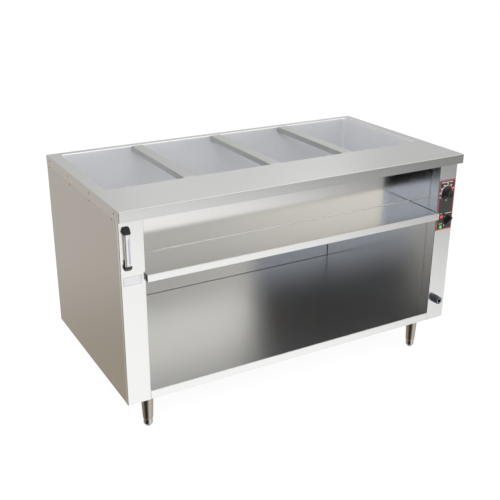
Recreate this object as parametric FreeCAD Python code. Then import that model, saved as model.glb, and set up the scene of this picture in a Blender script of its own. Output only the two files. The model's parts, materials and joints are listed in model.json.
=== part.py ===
import FreeCAD, Part
import os
from math import cos, pi, sin, tan

Vector = FreeCAD.Vector

# Hot food table: worktop over a divided water tank, open niche, open lower compartment, four legs.
# Frame: +X right seen from the front, -Y is the front, +Z up, origin on the floor under the centre.
# All lengths are in millimetres.

# Overall size
top_length = 1500.0
top_depth = 800.0
top_height = 900.0
leg_height = 160.0

# Worktop
top_sheet = 1.2
lip_height = 38.0
lip_hem = 10.0
edge_radius = 2.2
rim_radius = 5.0
rim_drop = 20.0

# Well opening in the worktop
land_front = 250.5
land_back = 33.5
land_left = 54.0
land_right = 50.0
well_corner = 8.0

# Body sheets
body_sheet = 1.0
bend = 1.0
flange = 15.0
face_setback = 15.0
overhang_right = 16.0
pilaster_width = 90.0
pilaster_return = 50.0
rail_height = 34.0
shelf_drop = 240.0
shelf_lip = 27.5
shelf_hem = 12.0
shelf_reach = 17.0
niche_depth = 177.0
back_cavity = 21.0
wall_gap = 2.0

# Tank
tank_sheet = 1.2
tank_depth = 222.0
seam_clearance = 0.3

# Divider bars
bar_width = 50.0
bar_skirt = 22.0
bar_sheet = 1.2
bar_clearance = 1.0
bar_centre_shares = (0.233, 0.499, 0.747)
seat_sheet = 1.5
seat_depth = 12.0
seat_drop = 14.0
seat_inset = 3.0

# Heating elements
element_radius = 4.25
element_spacing = 70.0
element_lift = 14.0
element_turn_gap = 150.0
element_tail = 14.0
element_front_share = 0.29
element_rear_share = 0.71
element_flange = 3.0
element_flange_margin = 12.0
clip_width = 12.0
clip_margin = 8.0
clip_shares = (0.3, 0.7)

# Legs and feet
leg_top_radius = 25.0
leg_bottom_radius = 19.5
leg_wall = 1.5
leg_rim_bevel = 4.0
leg_plate = 3.0
leg_plate_width = 66.0
leg_boss = 8.0
leg_inset_side = 103.5
leg_inset_face = 77.0
foot_radius = 17.5
foot_height = 33.0
foot_chamfer = 12.0
foot_tip_radius = 8.5
foot_stem_radius = 6.0
foot_stem_length = 60.0
running_clearance = 0.06
channel_width = 70.0
channel_wall = 1.5
beam_width = 60.0

# Control panel
panel_width = 85.0
panel_height = 218.0
panel_sheet = 1.5
panel_drop = 104.5
panel_corner = 1.0

# Thermostat: its knob centre is measured down from the panel's top edge
dial_drop = 56.0
knob_skirt_radius = 27.5
knob_skirt_height = 7.0
knob_skirt_top_radius = 23.0
knob_grip_radius = 16.5
knob_reach = 24.0
knob_gap = 0.5
knob_round = 1.2
pointer_width = 2.0
pointer_depth = 0.6
spindle_radius = 3.0
spindle_bite = 16.0
thermostat_width = 40.0
thermostat_height = 34.0
thermostat_length = 32.0
capillary_radius = 1.2
bulb_radius = 3.0
bulb_clearance = 20.0
bulb_side_inset = 20.0
bulb_lift = 14.0
capillary_bend = 12.0

# Rotary switch: centre right of the panel's middle line
switch_drop = 173.5
switch_offset = 15.5
switch_base_radius = 16.0
switch_base_height = 9.0
switch_reach = 22.0
switch_wing_width = 9.0
switch_wing_length = 24.0
switch_wing_tail = 15.0
switch_wing_tip = 4.0
switch_rest_angle = 240.0
switch_width = 30.0
switch_height = 46.0
switch_length = 42.0

# Lamps: left of the panel's middle line
lamp_offset = 19.0
red_lamp_drop = 158.7
green_lamp_drop = 204.2
lamp_radius = 8.0
lamp_barrel_radius = 6.5
lamp_barrel_length = 24.0
lamp_rim = 1.5
lamp_crown = 4.5

# Terminal block behind the right side panel
terminal_depth = 24.0
terminal_length = 84.0
terminal_height = 38.0
terminal_setback = 45.0
terminal_rise = 240.0
terminal_count = 6
terminal_slot_share = 0.6

# Cable gland on the right pilaster
gland_rise = 97.0
gland_side = 53.0
gland_reach = 30.0
gland_flange_radius = 17.0
gland_flange = 4.0
gland_hex = 30.0
gland_hex_length = 10.0
gland_thread_radius = 12.5
gland_thread_length = 13.0
gland_cap_radius = 16.0
gland_cap_round = 3.0
gland_bore_radius = 9.5
gland_seal_length = 12.0
gland_seal_wall = 2.2
gland_nut_hex = 30.0
gland_nut_length = 6.0

# Level gauge on the left pilaster
gauge_side = 25.7
gauge_drop = 70.0
gauge_centres = 122.0
gauge_width = 25.0
gauge_reach = 15.0
gauge_neck_radius = 7.0
gauge_neck_length = 2.0
gauge_head_above = 12.0
gauge_head_below = 12.0
gauge_foot_above = 17.0
gauge_foot_front_drop = 6.0
gauge_foot_below = 23.5
gauge_foot_rear = 5.0
gauge_end_slope = 11.0
gauge_end_upright = 4.0
gauge_bevel = 4.0
guard_width = 19.0
guard_reach = 13.0
guard_sheet = 1.0
guard_standoff = 2.0
glass_reach = 11.0
thermometer_radius = 1.0
thermometer_bulb_radius = 1.8
thermometer_top_gap = 18.0
thermometer_foot_gap = 14.0
thermometer_offset = 4.5
pipe_radius = 5.0
pipe_wall = 1.0
pipe_bend = 20.0
pipe_side = 70.0
pipe_run_share = 0.4
pipe_land_share = 0.72
pipe_nut_hex = 18.0
pipe_nut_length = 6.0

# Drain
drain_x_share = 0.857
drain_y_share = 0.52
drain_outer_radius = 13.2
drain_bore_radius = 10.0
drain_flange_radius = 22.0
drain_flange = 2.0
drain_neck = 12.0
valve_hex = 34.0
valve_height = 46.0
valve_ball_radius = 12.5
valve_stem_radius = 5.0
valve_stem_length = 14.0
valve_boss_radius = 8.0
valve_stem_foot = 7.0
outlet_length = 16.0
lever_length = 88.0
lever_width = 16.0
lever_sheet = 3.0
lever_grip = 4.0
lever_grip_length = 52.0
lever_grip_round = 3.5
lever_hub_radius = 11.0

# Label and rivets
label_length = 70.0
label_height = 34.0
label_sheet = 0.4
label_drop = 239.0
label_side = 7.0
rivet_radius = 3.3
rivet_head = 1.3
rivet_shank_radius = 1.6
lip_rivet_drop = 17.0
side_rivet_drop = 46.0
lip_rivet_shares = (0.056, 0.361, 0.656, 0.946)
side_rivet_shares = (0.09, 0.37, 0.645, 0.965)
wall_rivet_level = 48.0
wall_rivet_insets = (10.0, 40.0)

# One cut passes this far through a face, and two planes this close are the same
overrun = 5.0
same_plane = 0.001

# Planes and places worked out from the sizes above
panel_front = face_setback - panel_sheet
front_lead = max(
    gland_reach - face_setback,
    gauge_reach - face_setback,
    shelf_reach - face_setback,
    knob_reach - panel_front,
    switch_reach - panel_front,
)
LEFT = (rivet_head - top_length) / 2
RIGHT = LEFT + top_length
FRONT = (front_lead - top_depth) / 2
BACK = FRONT + top_depth
TOP = top_height

under_top = TOP - top_sheet
face_y = FRONT + face_setback
face_back = face_y + body_sheet
body_left = LEFT + top_sheet
body_right = RIGHT - overhang_right
body_back = BACK - top_sheet
body_bottom = leg_height
open_left = body_left + pilaster_width
open_right = body_right - pilaster_width
floor_top = body_bottom + rail_height
floor_under = floor_top - body_sheet
shelf_top = TOP - shelf_drop
shelf_under = shelf_top - body_sheet
shelf_front = face_y - shelf_reach
niche_back = face_y + niche_depth
inner_back = body_back - body_sheet - back_cavity
head_z = under_top - edge_radius + top_sheet

well_left = LEFT + land_left
well_right = RIGHT - land_right
well_front = FRONT + land_front
well_back = BACK - land_back
well_length = well_right - well_left
well_width = well_back - well_front
tank_floor = TOP - tank_depth
tank_top = TOP - rim_drop
bar_centres = [well_left + share * well_length for share in bar_centre_shares]

panel_x = (open_right + body_right) / 2
panel_y = face_y - panel_sheet
panel_top = TOP - panel_drop
dial_z = panel_top - dial_drop
switch_x = panel_x + switch_offset
switch_z = panel_top - switch_drop
lamp_x = panel_x - lamp_offset
gland_x = body_right - gland_side
gland_level = body_bottom + gland_rise
gauge_x = body_left + gauge_side
gauge_top = TOP - gauge_drop
gauge_foot = gauge_top - gauge_centres
drain_x = well_left + drain_x_share * well_length
drain_y = well_front + drain_y_share * well_width
valve_top = shelf_under - drain_neck
valve_axis = valve_top - valve_height / 2
element_z = tank_floor + element_lift + element_radius
bulb_x = well_right - bulb_side_inset
bulb_z = tank_floor + bulb_lift
front_run_y = well_front + element_front_share * well_width - element_spacing / 2
bulb_end = front_run_y - element_radius - bulb_clearance


def box(x0, x1, y0, y1, z0, z1):
    """A block between three pairs of planes."""
    return Part.makeBox(x1 - x0, y1 - y0, z1 - z0, Vector(x0, y0, z0))


def rod_y(x, z, radius, y0, y1):
    """A round rod along Y."""
    return Part.makeCylinder(radius, y1 - y0, Vector(x, y0, z), Vector(0, 1, 0))


def rod_z(x, y, radius, z0, z1):
    """A round rod along Z."""
    return Part.makeCylinder(radius, z1 - z0, Vector(x, y, z0))


def hex_y(x, z, across, y0, y1):
    """A hexagonal bar along Y, its flats this far apart."""
    reach = across / (2 * cos(pi / 6))
    corners = [Vector(x + reach * cos(k * pi / 3), y0, z + reach * sin(k * pi / 3)) for k in range(6)]
    return Part.Face(Part.makePolygon(corners + corners[:1])).extrude(Vector(0, y1 - y0, 0))


def prism(points, step):
    """A closed outline carried straight along one step."""
    return Part.Face(Part.makePolygon(points + points[:1])).extrude(step)


def joined(first, *others):
    """Pieces of one solid, with the faces between them taken out."""
    return first.fuse(list(others)).removeSplitter()


def edges_where(shape, test):
    """The edges of a shape whose middle point passes a test."""
    found = []
    for edge in shape.Edges:
        middle = edge.valueAt((edge.FirstParameter + edge.LastParameter) / 2)
        if test(middle):
            found.append(edge)
    return found


def near(a, b):
    """Two coordinates that mean the same plane."""
    return abs(a - b) < same_plane


def rounded_path(corners, radii, place):
    """Straight runs joined by tangent arcs through a list of 2D corners."""
    edges = []
    start = corners[0]
    for before, corner, after, radius in zip(corners, corners[1:], corners[2:], radii):
        come = (corner - before).normalize()
        go = (after - corner).normalize()
        turn = come.getAngle(go)
        run = radius * tan(turn / 2)
        enter = corner - come * run
        leave = corner + go * run
        inward = (go - come).normalize()
        middle = corner + inward * (radius / cos(turn / 2) - radius)
        edges.append(Part.LineSegment(place(start), place(enter)).toShape())
        edges.append(Part.Arc(place(enter), place(middle), place(leave)).toShape())
        start = leave
    edges.append(Part.LineSegment(place(start), place(corners[-1])).toShape())
    return edges


def folded(corners, sheet, place, step):
    """A bent sheet: its outer face follows 2D corners, its metal lies on their left, and it is
    carried along one step."""
    outer = [Vector(a, b, 0) for a, b in corners]
    runs = [(b - a).normalize() for a, b in zip(outer, outer[1:])]
    lefts = [Vector(-run.y, run.x, 0) for run in runs]
    inner = [outer[0] + lefts[0] * sheet]
    outer_radii = []
    inner_radii = []
    for corner, before, after in zip(outer[1:], lefts, lefts[1:]):
        miter = (before + after).normalize()
        inner.append(corner + miter * (sheet / miter.dot(before)))
        turns_left = before.cross(after).z > 0
        outer_radii.append(bend + sheet if turns_left else bend)
        inner_radii.append(bend if turns_left else bend + sheet)
    inner.append(outer[-1] + lefts[-1] * sheet)
    edges = rounded_path(outer, outer_radii, place)
    edges.append(Part.LineSegment(place(outer[-1]), place(inner[-1])).toShape())
    edges += rounded_path(inner[::-1], inner_radii[::-1], place)
    edges.append(Part.LineSegment(place(inner[0]), place(outer[0])).toShape())
    return Part.Face(Part.Wire(Part.__sortEdges__(edges))).extrude(step)


def across_yz(x):
    """Puts a 2D profile in the plane square to X."""
    return lambda point: Vector(x, point.x, point.y)


def across_xz(y):
    """Puts a 2D profile in the plane square to Y."""
    return lambda point: Vector(point.x, y, point.y)


def across_xy(z):
    """Puts a 2D profile in the plane square to Z."""
    return lambda point: Vector(point.x, point.y, z)


def column(grow, z0, z1):
    """The well opening as a block with round corners, grown sideways on every side."""
    block = box(well_left - grow, well_right + grow, well_front - grow, well_back + grow, z0, z1)
    middle = (z0 + z1) / 2
    return block.makeFillet(well_corner + grow, edges_where(block, lambda p: near(p.z, middle)))


def pipe(points, radius, bend_radius):
    """A round bar along straight runs joined by arcs, through 3D points."""
    edges = rounded_path(points, [bend_radius] * (len(points) - 2), lambda point: point)
    path = Part.Wire(edges)
    run = (points[1] - points[0]).normalize()
    ring = Part.Wire(Part.makeCircle(radius, points[0], run))
    return path.makePipeShell([ring], True, False)


def dome(base, outward, radius, rise):
    """A round cap standing on a face."""
    side = outward.cross(Vector(0, 0, 1))
    sphere_radius = (radius ** 2 + rise ** 2) / (2 * rise)
    rim = base + side * radius
    apex = base + outward * rise
    centre = apex - outward * sphere_radius
    middle = centre + ((rim - centre).normalize() + outward).normalize() * sphere_radius
    outline = [
        Part.LineSegment(base, rim).toShape(),
        Part.Arc(rim, middle, apex).toShape(),
        Part.LineSegment(apex, base).toShape(),
    ]
    return Part.Face(Part.Wire(outline)).revolve(base, outward, 360)


def welded(shape, cells):
    """A sheet made up of lengths welded edge to edge, one for each cell it reaches into."""
    return Part.makeCompound([length for cell in cells for length in shape.common(cell).Solids])


def rim_cells(outward, z0, z1):
    """Blocks round the well opening: one along each side and two in each round corner."""
    x0 = well_left + well_corner
    x1 = well_right - well_corner
    y0 = well_front + well_corner
    y1 = well_back - well_corner
    reach = outward + well_corner
    cells = [
        box(x0, x1, y0 - reach, y0, z0, z1),
        box(x0, x1, y1, y1 + reach, z0, z1),
        box(x0 - reach, x0, y0, y1, z0, z1),
        box(x1, x1 + reach, y0, y1, z0, z1),
    ]
    rise = Vector(0, 0, z1 - z0)
    for x, side in ((x0, -1), (x1, 1)):
        for y, way in ((y0, -1), (y1, 1)):
            centre = Vector(x, y, z0)
            tip = Vector(x + side * reach, y + way * reach, z0)
            cells.append(prism([centre, Vector(tip.x, y, z0), tip], rise))
            cells.append(prism([centre, tip, Vector(x, tip.y, z0)], rise))
    return cells


# Worktop and tank

def hollow_top(inset, z0, z1, outer_radius, inner_radius, grow):
    """The worktop's block inset by a sheet, with its edges and the well rim rounded."""
    block = box(LEFT + inset, RIGHT - inset, FRONT + inset, BACK - inset, z0, z1)
    outline = edges_where(block, lambda p: near(p.z, z1) or near(p.z, (z0 + z1) / 2))
    block = block.makeFillet(outer_radius, outline).cut(column(grow, z0 - overrun, z1 + overrun))

    def on_rim(p):
        inside_x = well_left - grow - bend < p.x < well_right + grow + bend
        inside_y = well_front - grow - bend < p.y < well_back + grow + bend
        return near(p.z, z1) and inside_x and inside_y

    return block.makeFillet(inner_radius, edges_where(block, on_rim))


def worktop():
    low = TOP - lip_height
    skin = hollow_top(0, low, TOP, edge_radius, rim_radius, 0)
    inside = hollow_top(
        top_sheet, low - overrun, under_top, edge_radius - top_sheet, rim_radius - top_sheet, top_sheet
    )
    collar_trim = column(top_sheet + overrun, low - overrun, tank_top)
    front_hem = box(
        body_left, RIGHT - top_sheet, FRONT + top_sheet, FRONT + top_sheet + lip_hem, low, low + top_sheet
    )
    right_hem = box(
        RIGHT - top_sheet - lip_hem,
        RIGHT - top_sheet,
        FRONT + top_sheet,
        BACK - top_sheet,
        low,
        low + top_sheet,
    )
    return joined(skin.cut(inside).cut(collar_trim), front_hem, right_hem)


def worktop_cells():
    """The worktop's lengths: four flat lands, four folded edges with their hems, and the well rim."""
    low = TOP - lip_height - overrun
    high = TOP + overrun
    fold_z = TOP - edge_radius
    x0 = LEFT + edge_radius
    x1 = RIGHT - edge_radius
    y0 = FRONT + edge_radius
    y1 = BACK - edge_radius
    rim_x0 = well_left - rim_radius
    rim_x1 = well_right + rim_radius
    rim_y0 = well_front - rim_radius
    rim_y1 = well_back + rim_radius
    hem_y = FRONT + top_sheet + lip_hem
    hem_x = RIGHT - top_sheet - lip_hem
    lands = [
        box(x0, x1, y0, rim_y0, fold_z, high),
        box(x0, x1, rim_y1, y1, fold_z, high),
        box(x0, rim_x0, rim_y0, rim_y1, fold_z, high),
        box(rim_x1, x1, rim_y0, rim_y1, fold_z, high),
    ]
    front_fold = box(x0, x1, FRONT - overrun, y0, low, high)
    right_fold = box(x1, RIGHT + overrun, FRONT - overrun, BACK + overrun, low, high)
    folds = [
        box(LEFT - overrun, x0, FRONT - overrun, BACK + overrun, low, high),
        box(x0, x1, y1, BACK + overrun, low, high),
        joined(front_fold, box(x0, x1, y0, hem_y, low, fold_z)),
        joined(right_fold, box(hem_x, x1, hem_y, y1, low, fold_z)),
    ]
    return lands + folds + rim_cells(rim_radius, tank_top, high)


def tank_block(grow, z0, z1):
    """The tank's space or its outside, round at the bottom too."""
    block = column(grow, z0, z1)
    return block.makeFillet(well_corner + grow, edges_where(block, lambda p: near(p.z, z0)))


def tank():
    shell = tank_block(tank_sheet, tank_floor - tank_sheet, tank_top)
    shell = shell.cut(tank_block(0, tank_floor, tank_top + overrun))
    under_floor = tank_floor - tank_sheet - overrun
    holes = [rod_z(drain_x, drain_y, drain_bore_radius, under_floor, tank_floor + overrun)]
    for share in (element_front_share, element_rear_share):
        for side in (-1, 1):
            y = well_front + share * well_width + side * element_spacing / 2
            holes.append(
                Part.makeCylinder(
                    element_radius,
                    tank_sheet + 2 * overrun,
                    Vector(well_right - overrun, y, element_z),
                    Vector(1, 0, 0),
                )
            )
    wall_y = (well_front - tank_sheet - overrun, well_front + overrun)
    holes.append(rod_y(bulb_x, bulb_z, bulb_radius, *wall_y))
    for level in (gauge_top, gauge_foot):
        holes.append(rod_y(LEFT + pipe_side, level, pipe_radius, *wall_y))
    return shell.cut(holes)


def tank_cells():
    """The tank's lengths: a shallow pressed bottom, and walls and corners that stand on it."""
    grow = tank_sheet + overrun
    fold_z = tank_floor + well_corner
    bottom = box(
        well_left - grow,
        well_right + grow,
        well_front - grow,
        well_back + grow,
        tank_floor - grow,
        fold_z,
    )
    return [bottom] + rim_cells(grow, fold_z, tank_top + overrun)


def tank_insulation():
    """A board between the tank's bottom and the mid shelf."""
    board = box(
        open_left,
        open_right,
        niche_back + body_sheet + flange,
        well_back,
        shelf_top,
        tank_floor - tank_sheet - seam_clearance,
    )
    return board.cut(rod_z(drain_x, drain_y, drain_flange_radius + seam_clearance, shelf_top - overrun, TOP))


# Divider bars

def divider_bar(centre):
    """An upside-down channel with closed ends, its top level with the worktop."""
    x0 = centre - bar_width / 2
    x1 = centre + bar_width / 2
    y0 = well_front + bar_clearance
    y1 = well_back - bar_clearance
    z0 = TOP - bar_skirt
    block = box(x0, x1, y0, y1, z0, TOP)
    block = block.makeFillet(edge_radius, edges_where(block, lambda p: near(p.z, TOP)))
    inside = box(
        x0 + bar_sheet, x1 - bar_sheet, y0 + bar_sheet, y1 - bar_sheet, z0 - overrun, TOP - bar_sheet
    )
    top_edges = edges_where(inside, lambda p: near(p.z, TOP - bar_sheet))
    return block.cut(inside.makeFillet(edge_radius - bar_sheet, top_edges))


def divider_seats():
    """Two small angles for each bar, on the tank's front and back walls."""
    seats = []
    z1 = TOP - bar_skirt
    half = bar_width / 2 - seat_inset
    for centre in bar_centres:
        for wall, side in ((well_front, 1), (well_back, -1)):
            near_y, far_y = sorted((wall, wall + side * seat_depth))
            ledge = box(centre - half, centre + half, near_y, far_y, z1 - seat_sheet, z1)
            leg_near, leg_far = sorted((wall, wall + side * seat_sheet))
            leg = box(centre - half, centre + half, leg_near, leg_far, z1 - seat_drop, z1 - seat_sheet)
            seats.append(joined(ledge, leg))
    return Part.makeCompound(seats)


# Body sheets

def pilaster(corners):
    """A front upright. The part of its return below the bottom shelf is cut away for the leg channel."""
    sheet = folded(corners, body_sheet, across_xy(body_bottom), Vector(0, 0, head_z - body_bottom))
    notch = box(
        open_left - channel_width,
        open_right + channel_width,
        face_back + bend,
        face_y + pilaster_return + overrun,
        body_bottom - overrun,
        floor_under,
    )
    return sheet.cut(notch)


def left_pilaster():
    corners = [
        (body_left, face_y + flange),
        (body_left, face_y),
        (open_left, face_y),
        (open_left, face_y + pilaster_return),
    ]
    holes = [
        rod_y(gauge_x, level, pipe_radius, face_y - overrun, face_back + overrun)
        for level in (gauge_top, gauge_foot)
    ]
    return pilaster(corners).cut(holes)


def right_pilaster():
    corners = [
        (open_right, face_y + pilaster_return),
        (open_right, face_y),
        (body_right, face_y),
        (body_right, face_y + flange),
    ]
    y0 = face_y - overrun
    y1 = face_back + overrun
    holes = [
        rod_y(panel_x, dial_z, spindle_radius + seam_clearance, y0, y1),
        rod_y(switch_x, switch_z, spindle_radius + seam_clearance, y0, y1),
        rod_y(lamp_x, panel_top - red_lamp_drop, lamp_barrel_radius, y0, y1),
        rod_y(lamp_x, panel_top - green_lamp_drop, lamp_barrel_radius, y0, y1),
        rod_y(gland_x, gland_level, gland_thread_radius, y0, y1),
    ]
    return pilaster(corners).cut(holes)


def left_side_panel():
    corners = [
        (body_left + flange, under_top),
        (body_left, under_top),
        (body_left, body_bottom),
        (body_left + flange, body_bottom),
    ]
    length = body_back - body_sheet - face_y - flange
    return folded(corners, body_sheet, across_xz(face_y + flange), Vector(0, length, 0))


def right_side_panel():
    corners = [
        (body_right - flange, body_bottom),
        (body_right, body_bottom),
        (body_right, under_top),
        (body_right - flange, under_top),
    ]
    length = body_back - body_sheet - face_y - flange
    return folded(corners, body_sheet, across_xz(face_y + flange), Vector(0, length, 0))


def inner_wall(x):
    """A flat wall beside the opening: full depth below the shelf, niche depth above it. It stops a
    small gap short of the upright's return."""
    front = face_y + pilaster_return + wall_gap
    outline = [
        Vector(x, front, floor_under),
        Vector(x, inner_back + body_sheet, floor_under),
        Vector(x, inner_back + body_sheet, shelf_top),
        Vector(x, niche_back + body_sheet, shelf_top),
        Vector(x, niche_back + body_sheet, under_top),
        Vector(x, front, under_top),
    ]
    return prism(outline, Vector(body_sheet, 0, 0))


def niche_back_panel():
    """A wall behind the niche, its flanges turned back under the worktop and on the shelf."""
    corners = [
        (niche_back + body_sheet + flange, under_top),
        (niche_back, under_top),
        (niche_back, shelf_top),
        (niche_back + body_sheet + flange, shelf_top),
    ]
    return folded(corners, body_sheet, across_yz(open_left), Vector(open_right - open_left, 0, 0))


def mid_shelf():
    corners = [
        (inner_back, shelf_top - flange),
        (inner_back, shelf_top),
        (shelf_front, shelf_top),
        (shelf_front, shelf_top - shelf_lip),
        (shelf_front + shelf_hem, shelf_top - shelf_lip),
    ]
    sheet = folded(corners, body_sheet, across_yz(open_left), Vector(open_right - open_left, 0, 0))
    front = face_y + pilaster_return
    back = inner_back - body_sheet - bend
    flanges = [
        box(x, x + body_sheet, front, back, shelf_top - flange, shelf_under)
        for x in (open_left, open_right - body_sheet)
    ]
    hole = rod_z(drain_x, drain_y, drain_outer_radius, shelf_under - overrun, shelf_top + overrun)
    return joined(sheet, *flanges).cut(hole)


def bottom_shelf():
    corners = [
        (inner_back, floor_top),
        (face_y, floor_top),
        (face_y, body_bottom),
        (face_y + flange, body_bottom),
    ]
    return folded(corners, body_sheet, across_yz(open_left), Vector(open_right - open_left, 0, 0))


def inner_back_panel():
    """The lower compartment's back wall, with flanges turned back to the outer panel."""
    corners = [
        (inner_back + back_cavity, shelf_top - flange),
        (inner_back, shelf_top - flange),
        (inner_back, floor_under),
        (inner_back + back_cavity, floor_under),
    ]
    return folded(corners, body_sheet, across_yz(open_left), Vector(open_right - open_left, 0, 0))


def back_panel():
    sheet = box(body_left, body_right, body_back - body_sheet, body_back, body_bottom, head_z)
    x_inset = body_sheet + bend
    hem = box(
        body_left + x_inset + flange,
        body_right - x_inset - flange,
        body_back - body_sheet - flange,
        body_back - body_sheet,
        body_bottom,
        body_bottom + body_sheet,
    )
    return joined(sheet, hem)


# Base

def leg_places():
    xs = {"left": body_left + leg_inset_side, "right": body_right - leg_inset_side}
    ys = {"front": face_y + leg_inset_face, "rear": body_back - leg_inset_face}
    return {row + "_" + side: (xs[side], ys[row]) for row in ys for side in xs}


def leg_channel(x):
    """A rectangular tube from front to back that carries two legs and the bottom shelf."""
    y0 = face_y + flange
    y1 = body_back - body_sheet - flange
    outer = box(x - channel_width / 2, x + channel_width / 2, y0, y1, body_bottom, floor_under)
    inner = box(
        x - channel_width / 2 + channel_wall,
        x + channel_width / 2 - channel_wall,
        y0 - overrun,
        y1 + overrun,
        body_bottom + channel_wall,
        floor_under - channel_wall,
    )
    return outer.cut(inner)


def floor_beam():
    """A channel under the middle of the bottom shelf, from one leg channel to the other."""
    places = leg_places()
    x0 = places["front_left"][0] + channel_width / 2
    x1 = places["front_right"][0] - channel_width / 2
    middle = (face_y + body_back) / 2
    corners = [
        (middle - beam_width / 2, body_bottom),
        (middle - beam_width / 2, floor_under),
        (middle + beam_width / 2, floor_under),
        (middle + beam_width / 2, body_bottom),
    ]
    return folded(corners[::-1], body_sheet, across_yz(x0), Vector(x1 - x0, 0, 0))


def leg(x, y):
    """A tapered tube with a square plate on top, a threaded boss at the bottom and a bevelled rim."""
    top = body_bottom - leg_plate
    half = leg_plate_width / 2
    plate = box(x - half, x + half, y - half, y + half, top, body_bottom)
    rim = foot_height + leg_rim_bevel
    bevel = Part.makeCone(foot_radius, leg_bottom_radius, leg_rim_bevel, Vector(x, y, foot_height))
    tube = Part.makeCone(leg_bottom_radius, leg_top_radius, top - rim, Vector(x, y, rim))
    low = foot_height + leg_boss
    boss_share = (low - rim) / (top - rim)
    bore_low = leg_bottom_radius + (leg_top_radius - leg_bottom_radius) * boss_share - leg_wall
    inside = Part.makeCone(bore_low, leg_top_radius - leg_wall, top - low, Vector(x, y, low))
    thread = rod_z(x, y, foot_stem_radius + running_clearance, foot_height - overrun, low + overrun)
    return joined(plate, bevel, tube.cut(inside)).cut(thread)


def foot(x, y):
    """A turned foot with a bevelled tip and a threaded stem up into the leg."""
    tip = Part.makeCone(foot_tip_radius, foot_radius, foot_chamfer, Vector(x, y, 0))
    body = rod_z(x, y, foot_radius, foot_chamfer, foot_height)
    stem = rod_z(x, y, foot_stem_radius, foot_height, foot_height + foot_stem_length)
    return joined(tip, body, stem)


# Heating

def heating_element(share):
    """A hairpin tube on the tank floor. Both ends pass out through the right wall."""
    y = well_front + share * well_width
    x_out = well_right + tank_sheet + element_tail
    x_turn = well_left + element_turn_gap
    half = element_spacing / 2
    ends = [Vector(x_out, y - half, element_z), Vector(x_out, y + half, element_z)]
    corners = [Vector(x_turn, y - half, element_z), Vector(x_turn, y + half, element_z)]
    turn = Part.Arc(corners[0], Vector(x_turn - half, y, element_z), corners[1])
    path = Part.Wire(
        [
            Part.LineSegment(ends[0], corners[0]).toShape(),
            turn.toShape(),
            Part.LineSegment(corners[1], ends[1]).toShape(),
        ]
    )
    ring = Part.Wire(Part.makeCircle(element_radius, ends[0], Vector(-1, 0, 0)))
    return path.makePipeShell([ring], True, False)


def element_flanges():
    """A plate outside the tank wall for each hairpin."""
    plates = []
    x0 = well_right + tank_sheet
    for share in (element_front_share, element_rear_share):
        y = well_front + share * well_width
        half = element_spacing / 2 + element_flange_margin
        plate = box(
            x0,
            x0 + element_flange,
            y - half,
            y + half,
            element_z - element_flange_margin,
            element_z + element_flange_margin,
        )
        holes = [
            Part.makeCylinder(
                element_radius,
                element_flange + 2 * overrun,
                Vector(x0 - overrun, y + side * element_spacing / 2, element_z),
                Vector(1, 0, 0),
            )
            for side in (-1, 1)
        ]
        plates.append(plate.cut(holes))
    return Part.makeCompound(plates)


def element_clips():
    """Low strips that hold the hairpins off the tank floor."""
    strips = []
    half = element_spacing / 2 + clip_margin
    for element_share in (element_front_share, element_rear_share):
        y = well_front + element_share * well_width
        for share in clip_shares:
            x = well_left + share * well_length
            strips.append(
                box(x, x + clip_width, y - half, y + half, tank_floor, element_z - element_radius)
            )
    return Part.makeCompound(strips)


# Control panel and what stands on it

def control_panel():
    x0 = panel_x - panel_width / 2
    plate = box(x0, x0 + panel_width, panel_y, face_y, panel_top - panel_height, panel_top)
    middle = panel_y + panel_sheet / 2
    plate = plate.makeFillet(panel_corner, edges_where(plate, lambda p: near(p.y, middle)))
    y0 = panel_y - overrun
    y1 = face_y + overrun
    return plate.cut(
        [
            rod_y(panel_x, dial_z, spindle_radius + seam_clearance, y0, y1),
            rod_y(switch_x, switch_z, spindle_radius + seam_clearance, y0, y1),
            rod_y(lamp_x, panel_top - red_lamp_drop, lamp_barrel_radius, y0, y1),
            rod_y(lamp_x, panel_top - green_lamp_drop, lamp_barrel_radius, y0, y1),
        ]
    )


def thermostat_knob():
    """A skirt with a round grip. A groove on the skirt points straight down at rest."""
    back = panel_y - knob_gap
    skirt = Part.makeCone(
        knob_skirt_radius,
        knob_skirt_top_radius,
        knob_skirt_height,
        Vector(panel_x, back, dial_z),
        Vector(0, -1, 0),
    )
    front = panel_y - knob_reach
    grip = rod_y(panel_x, dial_z, knob_grip_radius, front, back - knob_skirt_height)
    grip = grip.makeFillet(knob_round, edges_where(grip, lambda p: near(p.y, front)))
    bore = rod_y(panel_x, dial_z, spindle_radius, back - spindle_bite, back + overrun)
    groove = box(
        panel_x - pointer_width / 2,
        panel_x + pointer_width / 2,
        back - knob_skirt_height - pointer_depth,
        back - knob_skirt_height + pointer_depth,
        dial_z - knob_skirt_radius,
        dial_z - knob_grip_radius,
    )
    return joined(skirt, grip).cut([bore, groove])


def spindle(x, z, bite, length):
    """A round spindle from inside a knob into the body behind the panel."""
    return rod_y(x, z, spindle_radius, panel_y - knob_gap - bite, face_back + length / 2)


def spindle_bore(x, z, length):
    """The blind hole in a body for its spindle, half the body deep."""
    end = face_back + length / 2 + running_clearance
    return rod_y(x, z, spindle_radius + running_clearance, face_y, end)


def thermostat_body():
    half = thermostat_width / 2
    rise = thermostat_height / 2
    end = face_back + thermostat_length
    case = box(panel_x - half, panel_x + half, face_back, end, dial_z - rise, dial_z + rise)
    return case.cut(spindle_bore(panel_x, dial_z, thermostat_length))


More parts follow.
